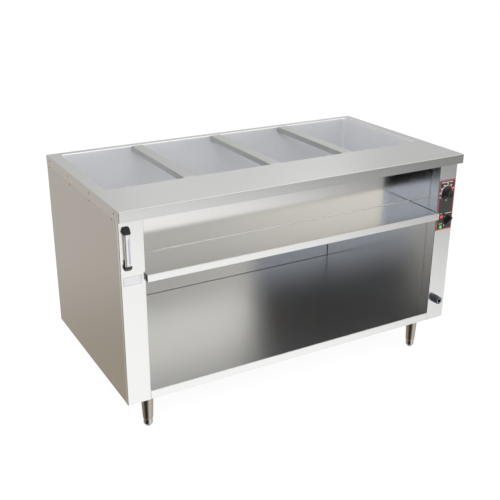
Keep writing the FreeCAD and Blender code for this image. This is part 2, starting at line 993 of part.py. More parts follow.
def thermostat_bulb():
    """A thin capillary from the thermostat to the tank, and the bulb inside the front wall."""
    start = Vector(panel_x, face_back + thermostat_length, dial_z)
    gap = well_front - tank_sheet - start.y
    line = [
        start,
        Vector(start.x, start.y + gap / 3, dial_z),
        Vector(bulb_x, start.y + 2 * gap / 3, bulb_z),
        Vector(bulb_x, well_front - tank_sheet, bulb_z),
    ]
    capillary = pipe(line, capillary_radius, capillary_bend)
    bulb = rod_y(bulb_x, bulb_z, bulb_radius, well_front - tank_sheet, bulb_end)
    return joined(capillary, bulb)


def switch_knob():
    """A round base with a wing that slopes down to its pointing end."""
    back = panel_y - knob_gap
    top = back - switch_base_height
    front = panel_y - switch_reach
    base = rod_y(switch_x, switch_z, switch_base_radius, top, back)
    base = base.makeFillet(knob_round, edges_where(base, lambda p: near(p.y, top)))
    half = switch_wing_width / 2
    tip = switch_wing_tip / 2
    upright = [
        Vector(switch_wing_length, top - knob_round, 0),
        Vector(0, front, 0),
        Vector(-switch_wing_tail, front, 0),
        Vector(-switch_wing_tail, back - knob_round, 0),
        Vector(switch_wing_length, back - knob_round, 0),
    ]
    side_view = prism([point - Vector(0, 0, half) for point in upright], Vector(0, 0, 2 * half))
    plan = [
        Vector(switch_wing_length, front, -tip),
        Vector(switch_wing_length, front, tip),
        Vector(0, front, half),
        Vector(-switch_wing_tail, front, half),
        Vector(-switch_wing_tail, front, -half),
        Vector(0, front, -half),
    ]
    wing = side_view.common(prism(plan, Vector(0, back - front, 0)))
    wing.rotate(Vector(0, 0, 0), Vector(0, 1, 0), -switch_rest_angle)
    wing.translate(Vector(switch_x, 0, switch_z))
    bore = rod_y(switch_x, switch_z, spindle_radius, back - switch_base_height, back + overrun)
    return joined(base, wing).cut(bore)


def switch_body():
    half = switch_width / 2
    rise = switch_height / 2
    end = face_back + switch_length
    case = box(switch_x - half, switch_x + half, face_back, end, switch_z - rise, switch_z + rise)
    return case.cut(spindle_bore(switch_x, switch_z, switch_length))


def lamp(drop):
    """A pilot lamp: domed lens on a rim, barrel through the panel."""
    z = panel_top - drop
    rim = rod_y(lamp_x, z, lamp_radius, panel_y - lamp_rim, panel_y)
    barrel = rod_y(lamp_x, z, lamp_barrel_radius, panel_y, face_back + lamp_barrel_length)
    lens = dome(Vector(lamp_x, panel_y - lamp_rim, z), Vector(0, -1, 0), lamp_radius, lamp_crown)
    return joined(rim, barrel, lens)


def terminal_block():
    x1 = body_right - body_sheet
    y0 = face_back + terminal_setback
    z = body_bottom + terminal_rise
    block = box(x1 - terminal_depth, x1, y0, y0 + terminal_length, z, z + terminal_height)
    slots = []
    pitch = terminal_length / terminal_count
    half = pitch * terminal_slot_share / 2
    for k in range(terminal_count):
        middle = y0 + pitch * (2 * k + 1) / 2
        slots.append(
            box(
                x1 - terminal_depth - overrun,
                x1 - terminal_depth / 2,
                middle - half,
                middle + half,
                z + terminal_height / 3,
                z + 2 * terminal_height / 3,
            )
        )
    return block.cut(slots)


# Cable gland

def gland_body():
    """Flange and hexagon outside the pilaster, hollow thread through it."""
    flange_part = rod_y(gland_x, gland_level, gland_flange_radius, face_y - gland_flange, face_y)
    shoulder = face_y - gland_flange - gland_hex_length
    hexagon = hex_y(gland_x, gland_level, gland_hex, shoulder, face_y - gland_flange)
    thread_end = face_back + gland_thread_length
    thread = rod_y(gland_x, gland_level, gland_thread_radius, face_y, thread_end)
    bore = rod_y(gland_x, gland_level, gland_bore_radius, shoulder - overrun, thread_end + overrun)
    return joined(flange_part, hexagon, thread).cut(bore)


def gland_cap():
    """The round nut that closes on the seal."""
    shoulder = face_y - gland_flange - gland_hex_length
    mouth = face_y - gland_reach
    cap = rod_y(gland_x, gland_level, gland_cap_radius, mouth, shoulder)
    cap = cap.makeFillet(gland_cap_round, edges_where(cap, lambda p: near(p.y, mouth)))
    wide = gland_bore_radius + gland_seal_wall
    chamber = rod_y(gland_x, gland_level, wide, shoulder - gland_seal_length, shoulder + overrun)
    bore = rod_y(gland_x, gland_level, gland_bore_radius, mouth - overrun, shoulder)
    return cap.cut([chamber, bore])


def gland_seal():
    shoulder = face_y - gland_flange - gland_hex_length
    y0 = shoulder - gland_seal_length
    ring = rod_y(gland_x, gland_level, gland_bore_radius + gland_seal_wall, y0, shoulder)
    return ring.cut(rod_y(gland_x, gland_level, gland_bore_radius, y0 - overrun, shoulder + overrun))


def gland_locknut():
    end = face_back + gland_nut_length
    nut = hex_y(gland_x, gland_level, gland_nut_hex, face_back, end)
    return nut.cut(rod_y(gland_x, gland_level, gland_thread_radius, face_y, end + overrun))


# Level gauge

def gauge_pipe_bore(level):
    return rod_y(gauge_x, level, pipe_radius, face_y - gauge_neck_length, face_back)


def gauge_end(inner, outer):
    """A head whose front slopes back towards its outer end, where its corners are bevelled."""
    way = 1 if outer > inner else -1
    front = face_y - gauge_reach
    rear = face_y - gauge_neck_length
    x0 = gauge_x - gauge_width / 2
    x1 = gauge_x + gauge_width / 2
    side_view = [
        Vector(x0, rear, inner),
        Vector(x0, front, inner),
        Vector(x0, front, inner + way * gauge_end_upright),
        Vector(x0, front + gauge_end_slope, outer),
        Vector(x0, rear, outer),
    ]
    front_view = [
        Vector(x0, front, inner),
        Vector(x0, front, outer - way * gauge_bevel),
        Vector(x0 + gauge_bevel, front, outer),
        Vector(x1 - gauge_bevel, front, outer),
        Vector(x1, front, outer - way * gauge_bevel),
        Vector(x1, front, inner),
    ]
    across = prism(side_view, Vector(gauge_width, 0, 0))
    return across.common(prism(front_view, Vector(0, rear - front, 0)))


def gauge_neck(level):
    return rod_y(gauge_x, level, gauge_neck_radius, face_y - gauge_neck_length, face_y)


def gauge_upper_head():
    head = gauge_end(gauge_top - gauge_head_below, gauge_top + gauge_head_above)
    return joined(head, gauge_neck(gauge_top)).cut(gauge_pipe_bore(gauge_top))


def gauge_lower_head():
    """A foot with an upright behind the glass."""
    z1 = gauge_foot - gauge_foot_front_drop
    foot_part = gauge_end(z1, gauge_foot - gauge_foot_below)
    upright = box(
        gauge_x - gauge_width / 2,
        gauge_x + gauge_width / 2,
        face_y - gauge_foot_rear,
        face_y - gauge_neck_length,
        z1,
        gauge_foot + gauge_foot_above,
    )
    return joined(foot_part, upright, gauge_neck(gauge_foot)).cut(gauge_pipe_bore(gauge_foot))


def gauge_span():
    return gauge_foot - gauge_foot_front_drop, gauge_top - gauge_head_below


def gauge_guard():
    """A metal channel behind and beside the glass, notched round the lower head's upright."""
    z0, z1 = gauge_span()
    back = face_y - guard_standoff
    half = guard_width / 2
    corners = [
        (gauge_x - half, back - guard_reach + guard_standoff),
        (gauge_x - half, back),
        (gauge_x + half, back),
        (gauge_x + half, back - guard_reach + guard_standoff),
    ]
    sheet = folded(corners[::-1], guard_sheet, across_xy(z0), Vector(0, 0, z1 - z0))
    notch = box(
        gauge_x - gauge_width,
        gauge_x + gauge_width,
        face_y - gauge_foot_rear,
        face_y,
        z0 - overrun,
        gauge_foot + gauge_foot_above,
    )
    return sheet.cut(notch)


def gauge_glass():
    """A clear column between the two heads, in front of the metal channel."""
    z0, z1 = gauge_span()
    half = guard_width / 2 - guard_sheet
    y1 = face_y - gauge_foot_rear
    front = face_y - glass_reach
    block = box(gauge_x - half, gauge_x + half, front, y1, z0, z1)
    return block.makeFillet(bend, edges_where(block, lambda p: near(p.y, front) and z0 < p.z < z1))


def gauge_thermometer():
    """A thin stem with a bulb at its foot, on the glass."""
    z0, z1 = gauge_span()
    x = gauge_x + thermometer_offset
    y = face_y - glass_reach - thermometer_radius
    low = z0 + thermometer_foot_gap
    stem = rod_z(x, y, thermometer_radius, low, z1 - thermometer_top_gap)
    bulb_y = y - thermometer_bulb_radius + thermometer_radius
    return joined(stem, Part.makeSphere(thermometer_bulb_radius, Vector(x, bulb_y, low)))


def gauge_pipes():
    """Two bent tubes from the heads back to the tank's front wall."""
    tubes = []
    y0 = face_y - gauge_neck_length
    y1 = well_front
    x1 = LEFT + pipe_side
    for level in (gauge_top, gauge_foot):
        line = [
            Vector(gauge_x, y0, level),
            Vector(gauge_x, y0 + pipe_run_share * (y1 - y0), level),
            Vector(x1, y0 + pipe_land_share * (y1 - y0), level),
            Vector(x1, y1, level),
        ]
        bar = pipe(line, pipe_radius, pipe_bend)
        bore = pipe(line, pipe_radius - pipe_wall, pipe_bend)
        tubes.append(bar.cut(bore))
    return Part.makeCompound(tubes)


def gauge_nuts():
    """The nuts that hold both heads, behind the pilaster."""
    nuts = []
    end = face_back + pipe_nut_length
    for level in (gauge_top, gauge_foot):
        nut = hex_y(gauge_x, level, pipe_nut_hex, face_back, end)
        nuts.append(nut.cut(rod_y(gauge_x, level, pipe_radius, face_y, end + overrun)))
    return Part.makeCompound(nuts)


# Drain

def drain_pipe():
    """A flanged spigot from the tank floor down through the board and the shelf."""
    top = tank_floor - tank_sheet
    collar = rod_z(drain_x, drain_y, drain_flange_radius, top - drain_flange, top)
    tube = rod_z(drain_x, drain_y, drain_outer_radius, valve_top, top)
    bore = rod_z(drain_x, drain_y, drain_bore_radius, valve_top - overrun, top + overrun)
    return joined(collar, tube).cut(bore)


def drain_valve_body():
    """A hexagonal ball valve body with its stem to the front and a male outlet below."""
    reach = valve_hex / (2 * cos(pi / 6))
    z0 = valve_top - valve_height
    ring = [
        Vector(drain_x + reach * cos(k * pi / 3 + pi / 6), drain_y + reach * sin(k * pi / 3 + pi / 6), z0)
        for k in range(6)
    ]
    body = prism(ring, Vector(0, 0, valve_height))
    outlet = rod_z(drain_x, drain_y, drain_outer_radius, z0 - outlet_length, z0)
    flat = drain_y - valve_hex / 2
    boss = rod_y(drain_x, valve_axis, valve_boss_radius, flat - valve_stem_foot, drain_y)
    stem = rod_y(drain_x, valve_axis, valve_stem_radius, flat - valve_stem_length, drain_y)
    bore = rod_z(drain_x, drain_y, drain_bore_radius, z0 - outlet_length - overrun, valve_top + overrun)
    valve = joined(body, outlet, boss, stem).cut(bore)
    ball = Part.makeSphere(valve_ball_radius, Vector(drain_x, drain_y, valve_axis))
    return joined(valve, ball)


def drain_valve_lever():
    """A flat lever on the valve's stem, level when shut, with a thicker grip."""
    y1 = drain_y - valve_hex / 2 - valve_stem_foot - seam_clearance
    y0 = y1 - lever_sheet
    hub = rod_y(drain_x, valve_axis, lever_hub_radius, y0, y1)
    end = drain_x + lever_length
    half = lever_width / 2
    arm = box(drain_x, end, y0, y1, valve_axis - half, valve_axis + half)
    grip = box(
        end - lever_grip_length,
        end,
        y0 - lever_grip,
        y1 + lever_grip,
        valve_axis - half - lever_grip / 2,
        valve_axis + half + lever_grip / 2,
    )
    grip = grip.makeFillet(lever_grip_round, grip.Edges)
    bore = rod_y(drain_x, valve_axis, valve_stem_radius + running_clearance, y0 - overrun, y1 + overrun)
    return joined(hub, arm, grip).cut(bore)


# Label and rivets

def info_label():
    x0 = body_left + label_side
    z1 = TOP - label_drop
    return box(x0, x0 + label_length, face_y - label_sheet, face_y, z1 - label_height, z1)


def rivet(base, outward, depth):
    """A domed head on a face, with a short shank behind it."""
    shank = Part.makeCylinder(rivet_shank_radius, depth, base, outward * -1)
    return joined(dome(base, outward, rivet_radius, rivet_head), shank)


def rivet_rows():
    lip = [
        (LEFT, FRONT + share * top_depth, TOP - lip_rivet_drop, top_sheet + body_sheet)
        for share in lip_rivet_shares
    ]
    side = [
        (body_left, FRONT + share * top_depth, TOP - side_rivet_drop, body_sheet)
        for share in side_rivet_shares
    ]
    return lip, side


def wall_rivet_places():
    z = floor_top + wall_rivet_level
    return [(inner_back - inset, z) for inset in wall_rivet_insets]


def rivets():
    """All the rivets: along the left lip, under it, and low on both inner walls."""
    lip, side = rivet_rows()
    rivets = [rivet(Vector(x, y, z), Vector(-1, 0, 0), depth) for x, y, z, depth in lip + side]
    for y, z in wall_rivet_places():
        rivets.append(rivet(Vector(open_left, y, z), Vector(1, 0, 0), body_sheet))
        rivets.append(rivet(Vector(open_right, y, z), Vector(-1, 0, 0), body_sheet))
    return Part.makeCompound(rivets)


def riveted(shape, places, span):
    """A sheet with a hole for each rivet shank along X."""
    x0, x1 = span
    holes = [
        Part.makeCylinder(rivet_shank_radius, x1 - x0, Vector(x0, y, z), Vector(1, 0, 0)) for y, z in places
    ]
    return shape.cut(holes)


def build():
    lip, side = rivet_rows()
    lip_places = [(y, z) for _, y, z, _ in lip]
    side_places = [(y, z) for _, y, z, _ in side]
    outer_span = (LEFT - overrun, body_left + body_sheet + overrun)
    left_span = (open_left - body_sheet - overrun, open_left + overrun)
    right_span = (open_right - overrun, open_right + body_sheet + overrun)
    places = wall_rivet_places()
    legs = leg_places()
    parts = {
        "worktop": welded(riveted(worktop(), lip_places, outer_span), worktop_cells()),
        "tank": welded(tank(), tank_cells()),
        "tank_insulation": tank_insulation(),
        "divider_seats": divider_seats(),
        "left_pilaster": left_pilaster(),
        "right_pilaster": right_pilaster(),
        "left_side_panel": riveted(left_side_panel(), lip_places + side_places, outer_span),
        "right_side_panel": right_side_panel(),
        "left_inner_wall": riveted(inner_wall(open_left - body_sheet), places, left_span),
        "right_inner_wall": riveted(inner_wall(open_right), places, right_span),
        "niche_back_panel": niche_back_panel(),
        "mid_shelf": mid_shelf(),
        "bottom_shelf": bottom_shelf(),
        "inner_back_panel": inner_back_panel(),
        "back_panel": back_panel(),
        "leg_channel_left": leg_channel(legs["front_left"][0]),
        "leg_channel_right": leg_channel(legs["front_right"][0]),
        "floor_beam": floor_beam(),
        "heating_element_front": heating_element(element_front_share),
        "heating_element_rear": heating_element(element_rear_share),
        "element_flanges": element_flanges(),
        "element_clips": element_clips(),
        "control_panel": control_panel(),
        "thermostat_knob": thermostat_knob(),
        "thermostat_spindle": spindle(panel_x, dial_z, spindle_bite, thermostat_length),
        "thermostat_body": thermostat_body(),
        "thermostat_bulb": thermostat_bulb(),
        "switch_knob": switch_knob(),
        "switch_spindle": spindle(switch_x, switch_z, switch_base_height, switch_length),
        "switch_body": switch_body(),
        "red_lamp": lamp(red_lamp_drop),
        "green_lamp": lamp(green_lamp_drop),
        "terminal_block": terminal_block(),
        "gland_body": gland_body(),
        "gland_cap": gland_cap(),
        "gland_seal": gland_seal(),
        "gland_locknut": gland_locknut(),
        "gauge_upper_head": gauge_upper_head(),
        "gauge_lower_head": gauge_lower_head(),
        "gauge_guard": gauge_guard(),
        "gauge_glass": gauge_glass(),
        "gauge_thermometer": gauge_thermometer(),
        "gauge_pipes": gauge_pipes(),
        "gauge_nuts": gauge_nuts(),
        "drain_pipe": drain_pipe(),
        "drain_valve_body": drain_valve_body(),
        "drain_valve_lever": drain_valve_lever(),
        "info_label": info_label(),
        "rivets": rivets(),
    }
    for number, centre in enumerate(bar_centres, 1):
        parts["divider_bar_" + str(number)] = divider_bar(centre)
    for place, (x, y) in legs.items():
        parts["leg_" + place] = leg(x, y)
        parts["foot_" + place] = foot(x, y)
    return parts


os.makedirs("parts", exist_ok=True)
for name, shape in build().items():
    shape.exportStep("parts/" + name + ".step")
    state = "valid" if shape.isValid() else "INVALID"
    print(name, len(shape.Solids), "solids", round(shape.Volume), "mm3", state)
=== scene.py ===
# %% [markdown]
# # Hot food table
# A steel counter with four water wells in its top, a shallow niche for plates and an open lower
# compartment. The frame holds every sheet and fitting at its true size. This lesson gives those
# pieces their finishes, adds the small details that are too fine for the frame, and sets up the
# studio that the table stands in.

import json
from math import cos, pi, radians, sin

import bpy
from mathutils import Matrix, Vector


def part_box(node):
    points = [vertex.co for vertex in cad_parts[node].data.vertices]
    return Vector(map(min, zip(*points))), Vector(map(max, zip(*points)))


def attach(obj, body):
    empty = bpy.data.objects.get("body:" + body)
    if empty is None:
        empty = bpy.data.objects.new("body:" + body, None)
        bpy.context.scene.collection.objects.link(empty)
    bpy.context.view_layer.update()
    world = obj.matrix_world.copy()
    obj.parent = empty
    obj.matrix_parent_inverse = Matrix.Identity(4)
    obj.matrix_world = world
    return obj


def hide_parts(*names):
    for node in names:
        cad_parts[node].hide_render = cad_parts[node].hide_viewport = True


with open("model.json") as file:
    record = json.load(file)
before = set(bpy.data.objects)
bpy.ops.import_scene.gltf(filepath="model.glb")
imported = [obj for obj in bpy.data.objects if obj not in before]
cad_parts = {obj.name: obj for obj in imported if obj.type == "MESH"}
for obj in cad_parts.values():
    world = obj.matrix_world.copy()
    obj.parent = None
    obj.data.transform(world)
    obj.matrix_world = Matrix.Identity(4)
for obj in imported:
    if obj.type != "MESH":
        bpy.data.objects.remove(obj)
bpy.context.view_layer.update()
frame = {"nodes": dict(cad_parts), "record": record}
nodes = frame["nodes"]
print("frame pieces:", len(nodes))

# %% [markdown]
# ## Camera
# The table is seen from its front left, a little from above. The camera's place and turn come from
# lines on the table whose real lengths are known, so the table fills the picture as it does in the
# photograph.

# %% Place the camera
camera_place = (-1.6064, -2.7485, 1.7775)
camera_yaw = radians(29.809)
camera_pitch = radians(22.124)
camera_roll = radians(0.360)
lens_length = 58.256
film_width = 36.0

camera_data = bpy.data.cameras.new("camera")
camera_data.lens = lens_length
camera_data.sensor_width = film_width
camera = bpy.data.objects.new("camera", camera_data)
bpy.context.scene.collection.objects.link(camera)
turned = Matrix.Rotation(-camera_yaw, 4, "Z") @ Matrix.Rotation(pi / 2 - camera_pitch, 4, "X")
camera.matrix_world = Matrix.Translation(camera_place) @ turned @ Matrix.Rotation(camera_roll, 4, "Z")
bpy.context.scene.camera = camera
bpy.context.scene.view_settings.view_transform = "Standard"
print("camera lens", camera_data.lens, "mm")

# %% [markdown]
# ## Studio
# Brushed steel has hardly any colour of its own: it shows the room. The room here is a plain pale
# one. The world is white to the camera, even for soft light, and for reflections it has a few broad
# tones, as a studio has: a bright floor in front, a brown wall behind on the left, a cool dim end on
# the left, and a light ceiling. That is made with the direction of the reflected ray and soft ramps.

# %% A helper for node trees
def wire(tree, kind, inputs=(), **settings):
    """Adds a node, sets its choices, and gives each input a value or a link."""
    node = tree.nodes.new(kind)
    for name, value in settings.items():
        setattr(node, name, value)
    for place, value in dict(inputs).items():
        if isinstance(value, bpy.types.NodeSocket):
            tree.links.new(value, node.inputs[place])
        else:
            node.inputs[place].default_value = value
    return node


def ramp(tree, value, low, high):
    """A soft step: 0 at low and below, 1 at high and beyond."""
    inputs = {"Value": value, "From Min": low, "From Max": high}
    return wire(tree, "ShaderNodeMapRange", inputs, interpolation_type="SMOOTHSTEP").outputs["Result"]


def blend(tree, amount, first, second):
    """A colour between two others."""
    return wire(tree, "ShaderNodeMix", {0: amount, 6: first, 7: second}, data_type="RGBA").outputs[2]


def grey(tone):
    return (tone, tone, tone, 1.0)


# %% The world's tones
world = bpy.data.worlds.new("studio")
bpy.context.scene.world = world
world.use_nodes = True
room = world.node_tree
room.nodes.clear()
way = wire(room, "ShaderNodeSeparateXYZ", {0: wire(room, "ShaderNodeTexCoord").outputs["Generated"]})
way_x, way_y, way_z = way.outputs


def change(value, low, high, first, second):
    """A tone that goes from the first to the second as a direction goes from low to high."""
    return blend(room, ramp(room, value, low, high), first, second)


def steps(value, first, *changes):
    """A tone that changes along one direction. Each change is low, high and the next tone."""
    tone = grey(first)
    for low, high, level in changes:
        tone = change(value, low, high, tone, grey(level))
    return tone


# %% The end of the room behind the table
brown_light = (0.56, 0.52, 0.47, 1.0)
brown_dark = (0.40, 0.35, 0.28, 1.0)
back_tone = steps(way_x, 0.62, (0.28, 0.36, 0.80), (0.46, 0.54, 0.93), (0.56, 0.61, 0.62), (0.68, 0.82, 0.40))
back_tone = change(way_z, 0.275, 0.235, back_tone, grey(0.60))
brown_wall = change(way_z, -0.38, -0.47, brown_light, brown_dark)
back_tone = change(way_x, -0.05, -0.2, back_tone, brown_wall)

# %% The end of the room in front of the table
warm_dim = (0.57, 0.57, 0.54, 1.0)
warm_bright = (0.97, 0.93, 0.86, 1.0)
blue_bright = (0.72, 0.79, 0.93, 1.0)
blue_dim = (0.38, 0.43, 0.52, 1.0)
slope = wire(room, "ShaderNodeMath", {0: way_x, 1: 0.15, 2: way_z}, operation="MULTIPLY_ADD").outputs[0]
floor_tone = change(slope, -0.185, -0.27, grey(0.25), steps(way_x, 1.06, (0.52, 0.63, 0.82)))
warm_wall = change(way_x, 0.36, 0.56, warm_dim, warm_bright)
high_tone = change(way_z, 0.34, 0.42, warm_wall, grey(0.50))
front_tone = change(way_z, -0.12, 0.06, floor_tone, high_tone)
blue_wall = change(way_z, 0.30, 0.36, blue_bright, blue_dim)
blue_wall = change(way_z, 0.40, 0.46, blue_wall, grey(0.04))
left_tone = change(way_z, -0.05, 0.15, steps(way_x, 0.0, (-0.50, -0.36, 0.08)), blue_wall)
front_tone = change(way_x, 0.02, -0.14, front_tone, left_tone)

# %% Join the two ends under the ceiling
tone = change(way_y, 0.12, -0.12, back_tone, front_tone)
tone = change(way_z, 0.62, 0.76, tone, grey(1.5))
reflected = wire(room, "ShaderNodeBackground", {"Color": tone, "Strength": 1.0})
soft = wire(room, "ShaderNodeBackground", {"Color": grey(0.72), "Strength": 1.0})
white = wire(room, "ShaderNodeBackground", {"Color": grey(1.0), "Strength": 1.0})


def sort_rays(tree, kind, others, these):
    """Shows one shader to rays of a kind and another to all others."""
    is_kind = wire(tree, "ShaderNodeLightPath").outputs[kind]
    return wire(tree, "ShaderNodeMixShader", {0: is_kind, 1: others.outputs[0], 2: these.outputs[0]})


light = sort_rays(room, "Is Glossy Ray", soft, reflected)
light = sort_rays(room, "Is Transmission Ray", light, white)
light = sort_rays(room, "Is Camera Ray", light, white)
wire(room, "ShaderNodeOutputWorld", {"Surface": light.outputs[0]})
print("world nodes:", len(room.nodes))

# %% [markdown]
# The floor is a large white sheet. The camera sees it nearly white with the table's soft shadow on
# it, and the steel looks through it to the room's tones.

# %% Lay the floor
floor_size = 60
floor_gap = 0.0005
bpy.ops.object.select_all(action="DESELECT")
bpy.ops.mesh.primitive_plane_add(size=floor_size, location=(0, 0, -floor_gap))
floor = bpy.context.active_object
floor.name = "floor"
floor_paint = bpy.data.materials.new("floor_paint")
floor_paint.use_nodes = True
tree = floor_paint.node_tree
tree.nodes.clear()
glow = wire(tree, "ShaderNodeEmission", {"Color": grey(1.0), "Strength": 0.90})
chalk = wire(tree, "ShaderNodeBsdfDiffuse", {"Color": grey(0.16)})
shown = wire(tree, "ShaderNodeAddShader", {0: glow.outputs[0], 1: chalk.outputs[0]})
plain = wire(tree, "ShaderNodeBsdfDiffuse", {"Color": grey(0.8)})
clear = wire(tree, "ShaderNodeBsdfTransparent")
seen = sort_rays(tree, "Is Camera Ray", plain, shown)
seen = sort_rays(tree, "Is Glossy Ray", seen, clear)
wire(tree, "ShaderNodeOutputMaterial", {"Surface": seen.outputs[0]})
floor.data.materials.append(floor_paint)
print("floor", tuple(floor.dimensions))


# %% Hang the soft lamps
def soft_lamp(name, place, aim, size, power):
    """A square soft box that points at a place and that neither camera nor steel sees."""
    data = bpy.data.lights.new(name, "AREA")
    data.size = size
    data.energy = power
    lamp = bpy.data.objects.new(name, data)
    bpy.context.scene.collection.objects.link(lamp)
    lamp.location = place
    lamp.rotation_euler = (Vector(aim) - Vector(place)).to_track_quat("-Z", "Y").to_euler()
    lamp.visible_camera = False
    lamp.visible_glossy = False
    return lamp


table_middle = (0.0, 0.0, 0.5)
well_middle = (-0.3, 0.1, 0.9)
lamps = [
    soft_lamp("key_lamp", place=(-2.2, -3.2, 3.0), aim=table_middle, size=2.0, power=70),
    soft_lamp("top_lamp", place=(-0.5, -0.3, 2.3), aim=well_middle, size=1.2, power=13),
    soft_lamp("front_lamp", place=(2.4, -3.0, 1.4), aim=table_middle, size=2.0, power=25),
]
print("lamps:", len(lamps))

# %% [markdown]
# ## Steel
# Sheet steel is brushed with a belt, so it carries fine straight scratches that catch light across
# their length. A noise that is stretched a hundred times along one axis makes such scratches, and a
# second, broad noise makes the faint clouds that handling and cleaning leave. Both are node groups,
# because every sheet uses them with its own direction and strength.

# %% Groups for scratches and clouds
def new_group(name, inputs, outputs):
    """A node group with number or vector inputs and number outputs."""
    group = bpy.data.node_groups.new(name, "ShaderNodeTree")
    for label, kind, value in inputs:
        socket = group.interface.new_socket(label, in_out="INPUT", socket_type=kind)
        socket.default_value = value
    for label in outputs:
        group.interface.new_socket(label, in_out="OUTPUT", socket_type="NodeSocketFloat")
    start = group.nodes.new("NodeGroupInput")
    end = group.nodes.new("NodeGroupOutput")
    return group, start, end


stretch_input = ("Stretch", "NodeSocketVector", (1.0, 100.0, 100.0))
brush_marks, start, end = new_group("brush_marks", [stretch_input], ["Marks"])
place = wire(brush_marks, "ShaderNodeTexCoord").outputs["Object"]
pulled = wire(brush_marks, "ShaderNodeMapping", {"Vector": place, "Scale": start.outputs["Stretch"]})
fine = wire(brush_marks, "ShaderNodeTexNoise", {"Vector": pulled.outputs[0], "Scale": 7.0, "Detail": 3.0})
brush_marks.links.new(fine.outputs["Fac"], end.inputs["Marks"])

clouds, start, end = new_group("clouds", [("Size", "NodeSocketFloat", 3.0)], ["Cloud"])
place = wire(clouds, "ShaderNodeTexCoord").outputs["Object"]
broad = wire(clouds, "ShaderNodeTexNoise", {"Vector": place, "Scale": start.outputs["Size"], "Detail": 4.0})
clouds.links.new(broad.outputs["Fac"], end.inputs["Cloud"])
print("groups:", [group.name for group in bpy.data.node_groups])


# %% A steel from its tone, roughness and brushing direction
long = 0.6
short = 110.0
along_x = (long, short, short)
along_y = (short, long, short)
along_z = (short, short, long)
cloud_shade = 0.02
scratch_shade = 0.08
scratch_cover = 0.3
scratch_roughness = 0.015
scratch_height = 0.0002


def use_group(tree, group, **values):
    """Puts a group in a material with the material's own values."""
    node = tree.nodes.new("ShaderNodeGroup")
    node.node_tree = group
    for label, value in values.items():
        node.inputs[label].default_value = value
    return node.outputs


def span(tree, value, low, high):
    """Maps a mask of 0 to 1 onto a narrow range."""
    inputs = {"Value": value, "To Min": low, "To Max": high}
    return wire(tree, "ShaderNodeMapRange", inputs).outputs["Result"]


def around(tree, value, level, share):
    """Maps a mask onto a level, less and more by a share."""
    return span(tree, value, level * (1 - share), level * (1 + share))


def new_finish(name):
    """A material, its node tree and its shader."""
    finish = bpy.data.materials.new(name)
    finish.use_nodes = True
    return finish, finish.node_tree, finish.node_tree.nodes["Principled BSDF"]


def shade(colour, share=0.0):
    """The same colour, darker by a share, with its alpha."""
    return tuple(channel * (1 - share) for channel in colour) + (1.0,)


def steel(name, colour, roughness, stretch, cloud_size=2.5, mark_depth=0.015, metallic=1.0):
    """Brushed sheet steel."""
    finish, tree, shader = new_finish(name)
    marks = use_group(tree, brush_marks, Stretch=stretch)["Marks"]
    cloud = use_group(tree, clouds, Size=cloud_size)["Cloud"]
    shader.inputs["Metallic"].default_value = metallic
    tint = blend(tree, cloud, shade(colour, cloud_shade), shade(colour))
    tint = blend(tree, span(tree, marks, 0.0, scratch_cover), tint, shade(colour, scratch_shade))
    tree.links.new(tint, shader.inputs["Base Color"])
    broad_change = around(tree, cloud, roughness, 0.08)
    fine_change = span(tree, marks, -scratch_roughness, scratch_roughness)
    rough = wire(tree, "ShaderNodeMath", {0: broad_change, 1: fine_change}, operation="ADD")
    tree.links.new(rough.outputs[0], shader.inputs["Roughness"])
    inputs = {"Strength": mark_depth, "Distance": scratch_height, "Height": marks}
    tree.links.new(wire(tree, "ShaderNodeBump", inputs).outputs[0], shader.inputs["Normal"])
    return finish


matt_colour = (0.77, 0.78, 0.80)
matt_metallic = 0.55
matt_roughness = 0.42
steels = {
    "worktop_steel": steel("worktop_steel", (0.75, 0.75, 0.74), 0.20, along_x),
    "bar_steel": steel("bar_steel", (0.59, 0.60, 0.58), 0.24, along_y, mark_depth=0.004),
    "tank_steel": steel(
        "tank_steel", matt_colour, matt_roughness, along_x, cloud_size=5.0, metallic=matt_metallic
    ),
    "front_steel": steel("front_steel", (0.90, 0.90, 0.89), 0.22, along_x),
    "side_steel": steel("side_steel", (0.70, 0.69, 0.68), 0.24, along_z),
    "liner_steel": steel("liner_steel", (0.85, 0.84, 0.82), 0.15, along_x),
    "base_steel": steel("base_steel", (0.84, 0.84, 0.84), 0.18, along_x),
}
print("steels:", sorted(steels))


# %% [markdown]
# ## Plastics, rubber and the small metals
# Moulded parts have a fine pebbled skin that scatters their shine. A small noise drives both the
# bump and the roughness, and a broader one shifts the colour a little, as handled plastic has.

# %% Moulded and small metal finishes
pebble_scale = 1400.0
pebble_height = 0.0001
pebble_roughness = 0.15
handled_scale = 40.0


def moulded(name, colour, roughness, pebble=0.15, metallic=0.0, tint_share=0.15):
    """A plastic or cast skin with fine pebbles and a slightly uneven colour."""
    finish, tree, shader = new_finish(name)
    place = wire(tree, "ShaderNodeTexCoord").outputs["Object"]
    inputs = {"Vector": place, "Scale": pebble_scale, "Detail": 1.0}
    pebbles = wire(tree, "ShaderNodeTexNoise", inputs).outputs["Fac"]
    cloud = use_group(tree, clouds, Size=handled_scale)["Cloud"]
    tint = blend(tree, cloud, shade(colour, tint_share), shade(colour))
    tree.links.new(tint, shader.inputs["Base Color"])
    tree.links.new(around(tree, pebbles, roughness, pebble_roughness), shader.inputs["Roughness"])
    shader.inputs["Metallic"].default_value = metallic
    inputs = {"Strength": pebble, "Distance": pebble_height, "Height": pebbles}
    tree.links.new(wire(tree, "ShaderNodeBump", inputs).outputs[0], shader.inputs["Normal"])
    return finish


